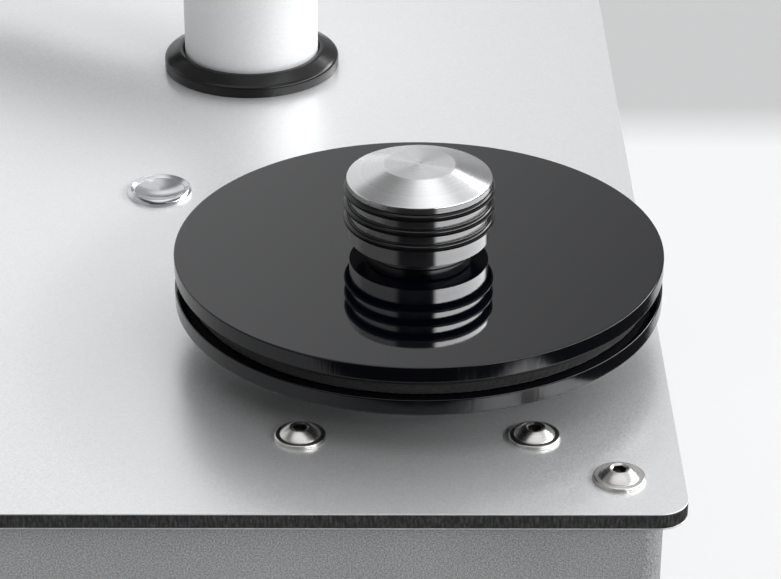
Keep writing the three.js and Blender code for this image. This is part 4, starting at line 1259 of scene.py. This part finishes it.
@dataclass
class DriveTrain(SubAssembly):
    """Bracket, gear motor and bearing bush under the platter."""

    edge: float = 0.3
    gearbox: float = 31.0
    seam: float = 9.0
    seam_depth: float = 0.5
    seam_width: float = 1.3
    seam_slope: float = 0.3
    shaft_bore: float = 5.3
    shaft_depth: float = 15.0
    can: float = 18.5
    can_bead: float = 0.6
    bead_drops: Triple = (3.0, 2.6, 2.0)
    can_end: float = 6.0
    can_end_height: float = 4.0
    bush: float = 11.0
    bush_flange: float = 14.0

    def gearbox_shell(self, low: float, high: float) -> Shell:
        """Turns the gearbox, with the seam of its casing and the shaft's bore.

        Args:
            low: Height of the lower end.
            high: Height of the upper end.

        Returns:
            The piece's surface.
        """
        seam, floor = low + self.seam, high - self.shaft_depth
        inside = self.gearbox - self.seam_depth
        return lathe([
            (0, low, 0), (self.gearbox, low, 1.8), (self.gearbox, seam, 0),
            (inside, seam + self.seam_slope, 0),
            (inside, seam + self.seam_width - self.seam_slope, 0),
            (self.gearbox, seam + self.seam_width, 0), (self.gearbox, high, 0.8),
            (self.shaft_bore, high, 0.4), (self.shaft_bore, floor, 0), (0, floor, 0),
        ], Columns.MIDDLE)

    def motor_shell(self, low: float, high: float) -> Shell:
        """Turns the motor's can, with its end cap and the bead under its flange.

        Args:
            low: Height of the lower end.
            high: Height of the upper end.

        Returns:
            The piece's surface.
        """
        end = low + self.can_end_height
        below, waist, above = (high - drop for drop in self.bead_drops)
        return lathe([
            (0, low, 0), (self.can_end, low, 0.5), (self.can_end, end, 0.3),
            (self.can, end, 1.5), (self.can, below, 0.4),
            (self.can - self.can_bead, waist, 0.2), (self.can, above, 0.3),
            (self.can, high, 0.3), (0, high, 0),
        ], Columns.MIDDLE)

    def bush_shell(self, low: float, high: float) -> Shell:
        """Turns the bush, whose flange lies on the panel.

        Args:
            low: Height of the lower end.
            high: Height of the upper end.

        Returns:
            The piece's surface.
        """
        seat = PANEL_TOP + GLUE
        return lathe([
            (self.shaft_bore, low, 0.3), (self.bush, low, 0.4), (self.bush, seat, 0),
            (self.bush_flange, seat, 0.1), (self.bush_flange, high, 0.4),
            (self.shaft_bore, high, 0.4),
        ], Columns.MIDDLE, True)

    def build(self) -> None:
        """Builds the bracket, gearbox, motor and bush."""
        f = self.finishes
        self.copied(self.edge, Placing("drive_bracket", Slot.STEEL, f.plain_steel))
        for shape, placing in (
            (self.gearbox_shell, Placing("gearbox", Slot.GREY_PLASTIC, f.grey_plastic)),
            (self.motor_shell, Placing("drive_motor", Slot.STEEL, f.plain_steel)),
            (self.bush_shell, Placing("bearing_bush", Slot.BRASS, f.brass)),
        ):
            self.on_axis(shape(*heights(placing.node)), placing)


def disc_shell(bore: float, radius: float, low: float, high: float, edge: float) -> Shell:
    """A disc with both rims broken, with rows of points half way and near the rim.

    Args:
        bore: Radius of the hole.
        radius: Radius of the rim.
        low: Height of the lower end.
        high: Height of the upper end.
        edge: Size of the broken edge.

    Returns:
        The piece's surface.
    """
    half_way, near = radius * 0.5, radius - 3 * edge
    return lathe([
        (bore, low, 0.1), (half_way, low, 0), (near, low, 0), (radius, low, edge),
        (radius, high, edge), (near, high, 0), (half_way, high, 0), (bore, high, 0.1),
    ], Columns.DISC, True)


def foam_ring(bore: float, radius: float, low: float, high: float, seed: int) -> Shell:
    """A ring cut from foam sheet, whose rim wanders.

    The rim's radius is less by the sum of three sines of the angle and the height, at most 0.35 mm.

    Args:
        bore: inside radius.
        radius: greatest outside radius.
        low: bottom height.
        high: top height.
        seed: shifts the sines, so that two rings differ.

    Returns:
        The ring.
    """
    margin, shoulder, mean, swing, lean, fine_share = 1.2, 0.3, 0.18, 0.06, 2.1, 0.8
    waves = ((23, 1), (71, -2), (163, 3))
    side_shares = (0.12, 0.35, 0.65, 0.88)

    def rule(rows: np.ndarray, angle: np.ndarray) -> np.ndarray:
        """Radii with the rim's wander.

        Args:
            rows: Radius and height of each row.
            angle: Angle of each column.

        Returns:
            The radius of each point.
        """
        phase = rows[:, 1:] * lean + seed
        slow, quick, fine = (np.sin(n * angle + k * phase) for n, k in waves)
        rim = np.clip((rows[:, :1] - (radius - margin)) / margin, 0, 1)
        return rows[:, :1] - rim * (mean + swing * (slow + quick + fine_share * fine))

    return lathe([
        (bore, low, 0), (radius - margin, low, 0), (radius - shoulder, low, 0),
        *((radius, low + (high - low) * share, 0) for share in side_shares),
        (radius - shoulder, high, 0), (radius - margin, high, 0), (bore, high, 0),
    ], Columns.FOAM, True, rule)


@dataclass
class Platter(SubAssembly):
    """Spindle, hub, lower acrylic disc and its foam mat."""

    radius: float = 60.0
    edge: float = 0.35
    bore: float = 5.3
    shaft: float = 5.0
    record_pin: float = 3.55
    record_pin_length: float = 6.5
    thread: float = 3.0
    hub_flange: float = 25.0
    hub_flange_thickness: float = 3.0
    hub_boss: float = 11.0
    mat_radius: float = 57.4
    mat_bore: float = 6.5
    mat_seed: int = 3
    foam_sharp: float = 60.0

    def spindle(self) -> Shell:
        """Turns the spindle: its shaft up to the disc's top, the record's pin and the thread.

        Returns:
            The piece's surface.
        """
        low, high = heights("spindle")
        disc_top = heights("platter_disc")[1]
        pin_top = disc_top + self.record_pin_length
        return lathe([
            (0, low, 0), (self.shaft, low, 0.5), (self.shaft, disc_top, 0.3),
            (self.record_pin, disc_top, 0.1), (self.record_pin, pin_top, 0.3),
            (self.thread, pin_top, 0.1), (self.thread, high, 0.9), (0, high, 0),
        ], Columns.SMALL)

    def hub(self) -> Shell:
        """Turns the hub: a boss round the spindle under a flange for the disc.

        Returns:
            The piece's surface.
        """
        low, high = heights("platter_hub")
        flange_low = high - self.hub_flange_thickness
        return lathe([
            (self.bore, low, 0.3), (self.hub_boss, low, 0.5),
            (self.hub_boss, flange_low, 0.8), (self.hub_flange, flange_low, 0.4),
            (self.hub_flange, high, 0.3), (self.bore, high, 0.2),
        ], Columns.LARGE, True)

    def build(self) -> None:
        """Builds the spindle, hub, disc and mat."""
        f = self.finishes
        disc = disc_shell(self.bore, self.radius, *heights("platter_disc"), self.edge)
        mat = foam_ring(self.mat_bore, self.mat_radius, *heights("platter_mat"), self.mat_seed)
        for shell, node, slot, finish, sharp in (
            (self.spindle(), "spindle", Slot.STEEL, f.dark_steel, SHARP),
            (self.hub(), "platter_hub", Slot.ALUMINIUM, f.satin_metal, SHARP),
            (disc, "platter_disc", Slot.ACRYLIC, f.acrylic, SHARP),
            (mat, "platter_mat", Slot.FOAM, f.foam, self.foam_sharp),
        ):
            self.on_axis(shell, Placing(node, slot, finish, Body.PLATTER, sharp))


@dataclass
class ScrewClamp(SubAssembly):
    """Foam seal, upper acrylic disc and the steel collar it hangs from."""

    radius: float = 60.0
    edge: float = 0.35
    bore: float = 4.2
    seal_radius: float = 57.4
    seal_width: float = 9.4
    seal_seed: int = 8
    foam_sharp: float = 60.0
    collar: float = 13.0

    def build(self) -> None:
        """Builds the seal, disc and collar."""
        f = self.finishes
        inner = self.seal_radius - self.seal_width
        seal = foam_ring(inner, self.seal_radius, *heights("clamp_seal"), self.seal_seed)
        disc = disc_shell(self.bore, self.radius, *heights("clamp_disc"), self.edge)
        low, high = heights("clamp_collar")
        collar = lathe([
            (self.bore, low, 0.1), (self.collar, low, 0.25), (self.collar, high, 0.35),
            (self.bore, high, 0.1),
        ], Columns.LARGE, True)
        for shell, node, slot, finish, sharp in (
            (seal, "clamp_seal", Slot.FOAM, f.foam, self.foam_sharp),
            (disc, "clamp_disc", Slot.ACRYLIC, f.acrylic, SHARP),
            (collar, "clamp_collar", Slot.STEEL, f.dark_steel, SHARP),
        ):
            self.on_axis(shell, Placing(node, slot, finish, Body.CLAMP, sharp))


@dataclass
class GripKnob(SubAssembly):
    """Turned knob with three rubber grip rings in its grooves and a brass thread insert."""

    radius: float = 17.1
    rim: float = 17.7
    rim_height: float = 1.7
    rim_lip: float = 1.05
    face: float = 8.8
    cone_height: float = 3.35
    centre_mark: float = 1.2
    centre_depth: float = 0.35
    first_ring: float = 5.2
    ring_pitch: float = 4.0
    ring_count: int = 3
    groove_width: float = 1.8
    groove_depth: float = 0.6
    ring_section: float = 0.95
    ring_seat: float = 0.05
    ring_sides: int = 24
    insert: float = 6.0
    insert_length: float = 14.0
    thread: float = 3.3
    knob_sharp: float = 20.0
    ring_sharp: float = 80.0

    def knob(self) -> Shell:
        """Turns the knob: grooves, flared rim, cone and faced top, open below for the insert.

        Returns:
            The piece's surface.
        """
        rings = [self.first_ring + i * self.ring_pitch for i in range(self.ring_count)]
        groove = self.radius - self.groove_depth
        half = self.groove_width / 2
        bore, bore_top = self.insert + FIT, self.insert_length + FIT
        grooves: list[Triple] = []
        for h in rings:
            grooves += [(self.radius, h - half, 0.12), (groove, h - half, 0.2)]
            grooves += [(groove, h + half, 0.2), (self.radius, h + half, 0.12)]
        rim_low = rings[-1] + self.rim_lip
        rim_top = rim_low + self.rim_height
        top = rim_top + self.cone_height
        return lathe([
            (0, bore_top, 0), (bore, bore_top, 0.3), (bore, 0, 0.4),
            (self.radius, 0, 0.15), *grooves[:-1], (self.rim, rim_low, 0.2),
            (self.rim, rim_top, 0.3), (self.face, top, 0.35),
            (self.centre_mark, top, 0), (0, top - self.centre_depth, 0),
        ], Columns.KNOB)

    def grip_ring(self, height: float) -> Shell:
        """A rubber ring: a circle of the section's radius turned about the axis.

        Args:
            height: Height of the ring's middle.

        Returns:
            The piece's surface.
        """
        centre = self.radius - self.groove_depth + self.ring_seat + self.ring_section
        a = np.linspace(0, 2 * math.pi, self.ring_sides, endpoint=False)
        r, h = centre + self.ring_section * np.cos(a), height + self.ring_section * np.sin(a)
        return lathe(list(zip(r, h, np.zeros_like(a))), Columns.KNOB, True)

    def build(self) -> None:
        """Builds the knob, its rings and its insert."""
        f = self.finishes
        x, y, _ = middle("clamp_knob")
        low, high = heights("thread_insert")
        sides = ((self.thread, low), (self.insert, low), (self.insert, high), (self.thread, high))
        insert = lathe([(*side, 0.3) for side in sides], Columns.SMALL, True)
        knob = self.knob().moved(z=heights("clamp_knob")[0])
        rings = [f"grip_ring_{i + 1}" for i in range(self.ring_count)]
        for shell, node, slot, finish, sharp in (
            (knob, "clamp_knob", Slot.ALUMINIUM, f.knob_metal, self.knob_sharp),
            *(
                (self.grip_ring(middle(ring)[2]), ring, Slot.RUBBER, f.ring_rubber, self.ring_sharp)
                for ring in rings
            ),
            (insert, "thread_insert", Slot.BRASS, f.brass, SHARP),
        ):
            self.add(shell.moved(x, y), Placing(node, slot, finish, Body.KNOB, sharp))


@dataclass
class SuctionArm(SubAssembly):
    """Gloss gland, swivel sleeve and the hollow column and beam that lift in it."""

    parked: float = math.radians(147.3)
    column: float = 20.0
    wall: float = 2.0
    neck: float = 24.0
    ring: float = 26.2
    ring_height: float = 2.9
    gland_height: float = 5.5
    lip: float = 1.2
    sleeve_wall: float = 1.4
    sleeve_lip: float = 2.2
    groove_width: float = 3.2
    groove_depth: float = 1.1
    beam_width: float = 24.0
    beam_height: float = 16.0
    beam_over: float = 21.5
    beam_sharp: float = 30.0
    cap_thickness: float = 2.0
    overrun: float = 5.0
    sleeve_edge: float = 0.1
    beam_edge: float = 0.2
    felt_edge: float = 0.25

    def gland(self, low: float) -> Shell:
        """Turns the gland: a neck through the panel, a bevelled ring and a lip round the column.

        Args:
            low: Height of the lower end.

        Returns:
            The piece's surface.
        """
        lip_radius = self.column + 2 * FIT
        neck_inner = lip_radius + self.sleeve_wall
        seat, ring_top = PANEL_TOP + GLUE, PANEL_TOP + self.ring_height
        top, lip_low = PANEL_TOP + self.gland_height, PANEL_TOP + self.sleeve_lip + FIT
        return lathe([
            (neck_inner, low, 0.2), (self.neck, low, 0.5), (self.neck, seat, 0),
            (self.ring, seat, 0.15), (self.ring, ring_top - GLUE, 0.5),
            (self.ring - self.lip / 2, ring_top + self.lip / 2, 0.5),
            (lip_radius + self.lip, top, 0.5), (lip_radius, top, 0.25),
            (lip_radius, lip_low, 0), (neck_inner, lip_low, 0),
        ], Columns.ARM, True)

    def tube(self, low: float, high: float) -> Shell:
        """Turns the column's plain tube.

        Args:
            low: Height of the lower end.
            high: Height of the upper end.

        Returns:
            The piece's surface.
        """
        bore = self.column - self.wall
        return lathe([
            (bore, low, 0.3), (self.column, low, 0.3),
            (self.column, (low + high) / 2, 0), (self.column, high, 0.15),
            (bore, high, 0.15),
        ], Columns.ARM, True)

    def column_cuts(self, low: float) -> list[Shell]:
        """The key's groove up the column's outside, and the window that the beam enters by.

        Args:
            low: Height of the column's lower end.

        Returns:
            The closed surfaces to cut out.
        """
        half_groove, half_beam = self.groove_width / 2, self.beam_width / 2 + FIT
        groove_top = PANEL_TOP + self.sleeve_lip + FIT
        beam_low, outside = PANEL_TOP + self.beam_over, self.column + self.overrun
        return [
            block_shell(
                (self.column - self.groove_depth, -half_groove, low - self.overrun),
                (outside, half_groove, groove_top),
            ),
            block_shell(
                (self.column - self.wall - self.overrun, -half_beam, beam_low - FIT),
                (outside, half_beam, beam_low + self.beam_height + FIT),
            ),
        ]

    def cap(self, low: float, high: float) -> Shell:
        """Turns the column's cap, with its spigot.

        Args:
            low: Height of the lower end.
            high: Height of the upper end.

        Returns:
            The piece's surface.
        """
        seat = high - self.cap_thickness + GLUE
        spigot = self.column - self.wall - FIT
        return lathe([
            (0, low, 0), (spigot, low, 0.4), (spigot, seat, 0),
            (self.column, seat, 0.1), (self.column, high, 0.6), (0, high, 0),
        ], Columns.ARM)

    def build(self) -> None:
        """Builds the gland, sleeve, column, cap, beam, plug and felts."""
        f, arm, black = self.finishes, Body.ARM, Slot.BLACK_PLASTIC
        x, y, _ = middle("arm_gland")
        gland = self.gland(heights("arm_gland")[0]).moved(x, y)
        self.add(gland, Placing("arm_gland", Slot.RUBBER, f.gland_gloss))
        sleeve = Placing("swivel_sleeve", black, f.black_plastic, Body.SWIVEL)
        self.copied(self.sleeve_edge, sleeve)
        low, high = heights("arm_column")
        column, *cuts = (
            shell.turned(self.parked).moved(x, y)
            for shell in (self.tube(low, high), *self.column_cuts(low))
        )
        self.add(column, Placing("arm_column", Slot.ALUMINIUM, f.satin_metal, arm), cuts)
        cap = self.cap(*heights("column_cap")).moved(x, y)
        self.add(cap, Placing("column_cap", Slot.ALUMINIUM, f.satin_metal, arm))
        beam = Placing("suction_beam", Slot.SILVER, f.silver, arm, self.beam_sharp)
        self.copied(self.beam_edge, beam, Placing("beam_plug", black, f.black_plastic, arm))
        felts = ("felt_strip_left", "felt_strip_right")
        self.copied(self.felt_edge, *(Placing(felt, Slot.FOAM, f.foam, arm) for felt in felts))


@dataclass
class VacuumSystem(SubAssembly):
    """Elbow, hoses, fluid tank, turbine with its motor and cradle, and the power board."""

    edge: float = 0.5

    def build(self) -> None:
        """Builds each inner piece with broken edges."""
        f = self.finishes
        self.copied(
            self.edge,
            Placing("suction_elbow", Slot.BLACK_PLASTIC, f.black_plastic),
            Placing("suction_hose", Slot.RUBBER, f.hose_rubber),
            Placing("air_hose", Slot.RUBBER, f.hose_rubber),
            Placing("fluid_tank", Slot.TANK, f.tank),
            Placing("tank_lid", Slot.BLACK_PLASTIC, f.black_plastic),
            Placing("turbine_casing", Slot.ALUMINIUM, f.cast_aluminium),
            Placing("turbine_motor", Slot.STEEL, f.plain_steel),
            Placing("turbine_cradle", Slot.RUBBER, f.foot_rubber),
            Placing("power_board", Slot.CIRCUIT, f.circuit),
        )


@dataclass
class RearFittings(SubAssembly):
    """Mains inlet with its rocker, drain cock with its lever, and the level tube."""

    inlet_edge: float = 0.2
    cock_edge: float = 0.25
    lever_edge: float = 0.3
    rocker_sharp: float = 25.0
    tube: float = 3.7
    tube_bore: float = 2.5
    bend: float = 5.0
    bend_points: int = 9

    def level_tube(self) -> Shell:
        """Carries the tube out of the back wall, up and in again, with a bend at each corner.

        Returns:
            The piece's surface.
        """
        low, high = (np.array(end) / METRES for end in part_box("level_tube"))
        start, out = low[1], high[1] - self.tube
        bottom, top = low[2] + self.tube, high[2] - self.tube
        t = np.linspace(0, 1, self.bend_points)[:, None]

        def bent(*ends: Sequence[float]) -> np.ndarray:
            """A bend from a to c about b: (1-t)^2 a + 2t(1-t) b + t^2 c."""
            a, b, c = (np.array(end) for end in ends)
            return (1 - t) ** 2 * a + 2 * t * (1 - t) * b + t**2 * c

        lower = bent((out - self.bend, bottom), (out, bottom), (out, bottom + self.bend))
        upper = bent((out, top - self.bend), (out, top), (out - self.bend, top))
        side_view = np.vstack([[(start, bottom)], lower, upper, [(start, top)]])
        path = np.column_stack([np.full(len(side_view), (low[0] + high[0]) / 2), side_view])
        return swept(path, self.tube, self.tube_bore, np.array([1.0, 0, 0]), Columns.HOSE)

    def build(self) -> None:
        """Builds the fittings."""
        f, black = self.finishes, Slot.BLACK_PLASTIC
        rocker = Placing(
            "mains_rocker", black, f.black_plastic, Body.MAINS_SWITCH, self.rocker_sharp
        )
        lever = Placing("drain_lever", black, f.black_plastic, Body.DRAIN_TAP)
        self.copied(self.inlet_edge, Placing("mains_inlet", black, f.inlet))
        self.copied(self.cock_edge, rocker, Placing("drain_cock", Slot.BRASS, f.cast_brass))
        self.copied(self.lever_edge, lever)
        self.add(self.level_tube(), Placing("level_tube", Slot.CLEAR, f.clear))


@dataclass
class PushButtons(SubAssembly):
    """Two metal push buttons, each a dished cap in a bezel."""

    bezel: float = 8.9
    bezel_height: float = 1.7
    bezel_edge: float = 0.7
    bezel_lip: float = 1.6
    neck: float = 7.9
    depth: float = 20.0
    cap: float = 6.6
    cap_gap: float = 0.08
    cap_head: float = 3.0
    dish: float = 1.3
    dish_points: int = 14
    dish_share: float = 0.97
    proud: float = 0.9
    plunger: float = 16.0

    def bezel_shell(self) -> Shell:
        """Turns the bezel: a plain neck, an outer bevel and a slope down to the cap.

        Returns:
            The piece's surface.
        """
        bore = self.cap + FIT
        return lathe([
            (bore, -self.depth, 0.2), (self.neck, -self.depth, 0.3),
            (self.neck, GLUE, 0), (self.bezel, GLUE, 0.1),
            (self.bezel, self.bezel_edge, 0.25),
            (self.bezel - self.bezel_lip / 2, self.bezel_height, 0.35),
            (bore, self.proud, 0.05),
        ], Columns.LARGE, True)

    def cap_shell(self) -> Shell:
        """Turns the cap, whose face is a bowl: height = proud - dish (1 - (r / R)^2).

        Returns:
            The piece's surface.
        """
        edge = self.cap + FIT - self.cap_gap
        foot = self.proud - self.plunger
        radii = np.linspace(self.dish_share, 0, self.dish_points) * edge
        bowl = self.proud - self.dish * (1 - (radii / edge) ** 2)
        return lathe([
            (0, foot, 0), (self.cap, foot, 0.3), (edge, self.proud - self.cap_head, 0),
            (edge, self.proud, 0.06), *zip(radii, bowl, np.zeros_like(radii)),
        ], Columns.LARGE)

    def build(self) -> None:
        """Builds both buttons."""
        slot, chrome = Slot.STAINLESS, self.finishes.chrome
        for name, body in (("vacuum_button", Body.VACUUM_CAP), ("motor_button", Body.MOTOR_CAP)):
            x, y, _ = middle(name)
            bezel, cap = (s.moved(x, y, PANEL_TOP) for s in (self.bezel_shell(), self.cap_shell()))
            self.add(bezel, Placing(name + "_bezel", slot, chrome))
            self.add(cap, Placing(name, slot, chrome, body))


# Studio


class Axis(Enum):
    """A direction's coordinates."""

    X = 0
    Y = 1
    Z = 2


Edge = tuple[Axis, float, float, float, float]


@dataclass(frozen=True)
class Glow:
    """A pale part of the room: a level times soft steps of the direction.

    Each step is (axis, start, end, low, high).
    """

    level: float
    edges: tuple[Edge, ...]


ROOM = (
    Glow(1.03, (
        (Axis.Y, -0.1, 0.5, 0.04, 1.0), (Axis.X, -0.12, 0.16, 1.0, 0.47),
        (Axis.X, -0.32, -0.15, 0.85, 1.0), (Axis.X, 0.18, 0.3, 1.0, 0.6),
        (Axis.Z, 0.53, 0.65, 1.0, 0.32),
    )),
    Glow(0.75, (
        (Axis.Z, 0.62, 0.75, 0.0, 1.0), (Axis.X, -0.25, -0.05, 0.35, 1.0),
        (Axis.Y, -0.3, 0.1, 0.2, 1.0),
    )),
    Glow(0.8, (
        (Axis.Z, 0.53, 0.63, 0.0, 1.0), (Axis.X, -0.14, -0.04, 0.0, 1.0),
        (Axis.Y, 0.1, 0.2, 0.0, 1.0),
    )),
    Glow(0.9, (
        (Axis.Z, 0.46, 0.56, 0.0, 1.0), (Axis.X, 0.2, 0.3, 0.0, 1.0),
        (Axis.Y, 0.1, 0.2, 0.0, 1.0),
    )),
    Glow(1.3, ((Axis.Z, 0.75, 0.85, 0.0, 1.0), (Axis.Y, -0.1, 0.15, 1.0, 0.0))),
    Glow(12.0, (
        (Axis.X, 0.34, 0.45, 0.0, 1.0), (Axis.Y, 0.67, 0.79, 1.0, 0.0),
        (Axis.Z, 0.36, 0.42, 0.0, 1.0), (Axis.Z, 0.52, 0.58, 1.0, 0.0),
    )),
    Glow(0.55, (
        (Axis.X, -0.6, -0.45, 1.0, 0.0), (Axis.Z, 0.1, 0.2, 0.0, 1.0),
        (Axis.Z, 0.55, 0.65, 1.0, 0.1),
    )),
)


@dataclass
class Studio:
    """Camera at the photograph's angle, plain pale floor and soft lights.

    The camera's place is in millimetres, the floor's and the lamp's in metres.
    """

    eye: Triple = (51.04, -694.44, 483.80)
    pitch: float = math.radians(28.293)
    yaw: float = math.radians(0.197)
    roll: float = math.radians(0.170)
    lens: float = 126.55
    sensor: float = 36.0
    clip: tuple[float, float] = (0.01, 50.0)
    floor_half: float = 3.0
    paper_end: float = 0.349
    paper_blur: float = 0.02
    paper_front: float = 0.78
    paper_behind: float = 0.5
    unlit_slope: float = 1.2
    unlit_start: float = -0.25
    unlit_least: float = -0.2
    unlit: Colour = (0.003, 0.003, 0.003)
    lamp_at: Triple = (0.25, 0.38, 1.4)
    lamp_aim: Triple = (0, 0, 0.15)
    lamp_size: float = 0.45
    lamp_power: float = 0.8
    room_tint: Colour = (0.985, 0.99, 1.0)
    horizon: Edge = (Axis.Z, -0.04, 0.02, 0.03, 1.0)

    def camera(self) -> None:
        """Sets the camera: forward from yaw and pitch, then right and up turned by the roll."""
        forward = Vector((
            math.sin(self.yaw) * math.cos(self.pitch),
            math.cos(self.yaw) * math.cos(self.pitch),
            -math.sin(self.pitch),
        ))
        right = Vector((math.cos(self.yaw), -math.sin(self.yaw), 0))
        up = right.cross(forward)
        tilted_right = math.cos(self.roll) * right + math.sin(self.roll) * up
        tilted_up = -math.sin(self.roll) * right + math.cos(self.roll) * up
        data = bpy.data.cameras.new("camera")
        data.lens, data.sensor_width = self.lens, self.sensor
        data.clip_start, data.clip_end = self.clip
        camera = linked("camera", data)
        rotation = Matrix((tilted_right, tilted_up, -forward)).transposed()
        camera.matrix_world = Matrix.Translation(Vector(self.eye) * METRES) @ rotation.to_4x4()
        bpy.context.scene.camera = camera

    def floor(self) -> None:
        """Lays the floor, which polished faces see dark in front, like the unlit half of a room.

        It is dark for them where y < max(slope x + start, least).
        """
        s = Shading("floor_paper")
        x, y, _ = s.node("SeparateXYZ", {0: s.places()}).outputs
        behind = s.ramp(y, self.paper_end - self.paper_blur, self.paper_end + self.paper_blur)
        paper = s.tint(behind, grey(self.paper_front), grey(self.paper_behind))
        line = s.maths("MULTIPLY_ADD", x, self.unlit_slope, self.unlit_start)
        near = s.maths("LESS_THAN", y, s.maths("MAXIMUM", line, self.unlit_least))
        mirrored = s.node("LightPath").outputs["Is Glossy Ray"]
        colour = s.tint(s.maths("MULTIPLY", near, mirrored), paper, self.unlit)
        h = self.floor_half
        mesh = bpy.data.meshes.new("floor")
        mesh.from_pydata([(-h, -h, 0), (h, -h, 0), (h, h, 0), (-h, h, 0)], [], [(0, 1, 2, 3)])
        mesh.materials.append(s.wire(Base_Color=colour, Roughness=0.9))
        floor = linked("floor", mesh)

    def lamp(self) -> None:
        """Hangs the soft box above the machine's back."""
        data = bpy.data.lights.new("lamp", "AREA")
        data.shape = "RECTANGLE"
        data.size = data.size_y = self.lamp_size
        data.energy = self.lamp_power
        at = Vector(self.lamp_at)
        facing = (Vector(self.lamp_aim) - at).to_track_quat("-Z", "Y")
        place = Matrix.Translation(at) @ facing.to_matrix().to_4x4()
        linked("lamp", data).matrix_world = place

    def surroundings(self) -> None:
        """Lights the room with its glows.

        The level in a direction is the greatest of the glows, times a step that darkens all below
        the horizon.
        """
        world = bpy.data.worlds.new("studio")
        world.use_nodes = True
        nodes = Nodes(world.node_tree)
        split = nodes.node("SeparateXYZ", {0: nodes.node("TexCoord").outputs["Generated"]})

        def step(edge: Edge) -> Socket:
            """A soft step of one of the direction's coordinates."""
            axis, *ends = edge
            return nodes.ramp(split.outputs[axis.value], *ends, kind="SMOOTHSTEP")

        def joined(operation: str, levels: Sequence[Socket | float]) -> Socket:
            """Levels joined one after another by a maths operation."""
            return reduce(lambda a, b: nodes.maths(operation, a, b), levels)

        parts = [joined("MULTIPLY", [*map(step, glow.edges), glow.level]) for glow in ROOM]
        level = joined("MULTIPLY", [joined("MAXIMUM", parts), step(self.horizon)])
        background = nodes.node("Background", {0: (*self.room_tint, 1), 1: level})
        nodes.node("OutputWorld", {0: background.outputs[0]})
        bpy.context.scene.world = world

    def build(self) -> None:
        """Sets up the camera, floor, lights and room."""
        self.camera()
        self.floor()
        self.surroundings()
        self.lamp()
        bpy.context.scene.view_settings.view_transform = "Standard"
        log.info("studio: camera, floor and lights")


def main() -> None:
    """Builds the machine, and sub-assembly by sub-assembly."""
    logging.basicConfig(level=logging.INFO, format="%(name)s: %(message)s")
    Studio().build()
    finishes = Finishes()
    groups = (
        Housing, TopPanel, Fasteners, DriveTrain, Platter, ScrewClamp, GripKnob, SuctionArm,
        VacuumSystem, RearFittings, PushButtons,
    )
    for group in groups:
        log.info("building %s", group.__name__)
        group(finishes).build()


if __name__ == "__main__":
    main()
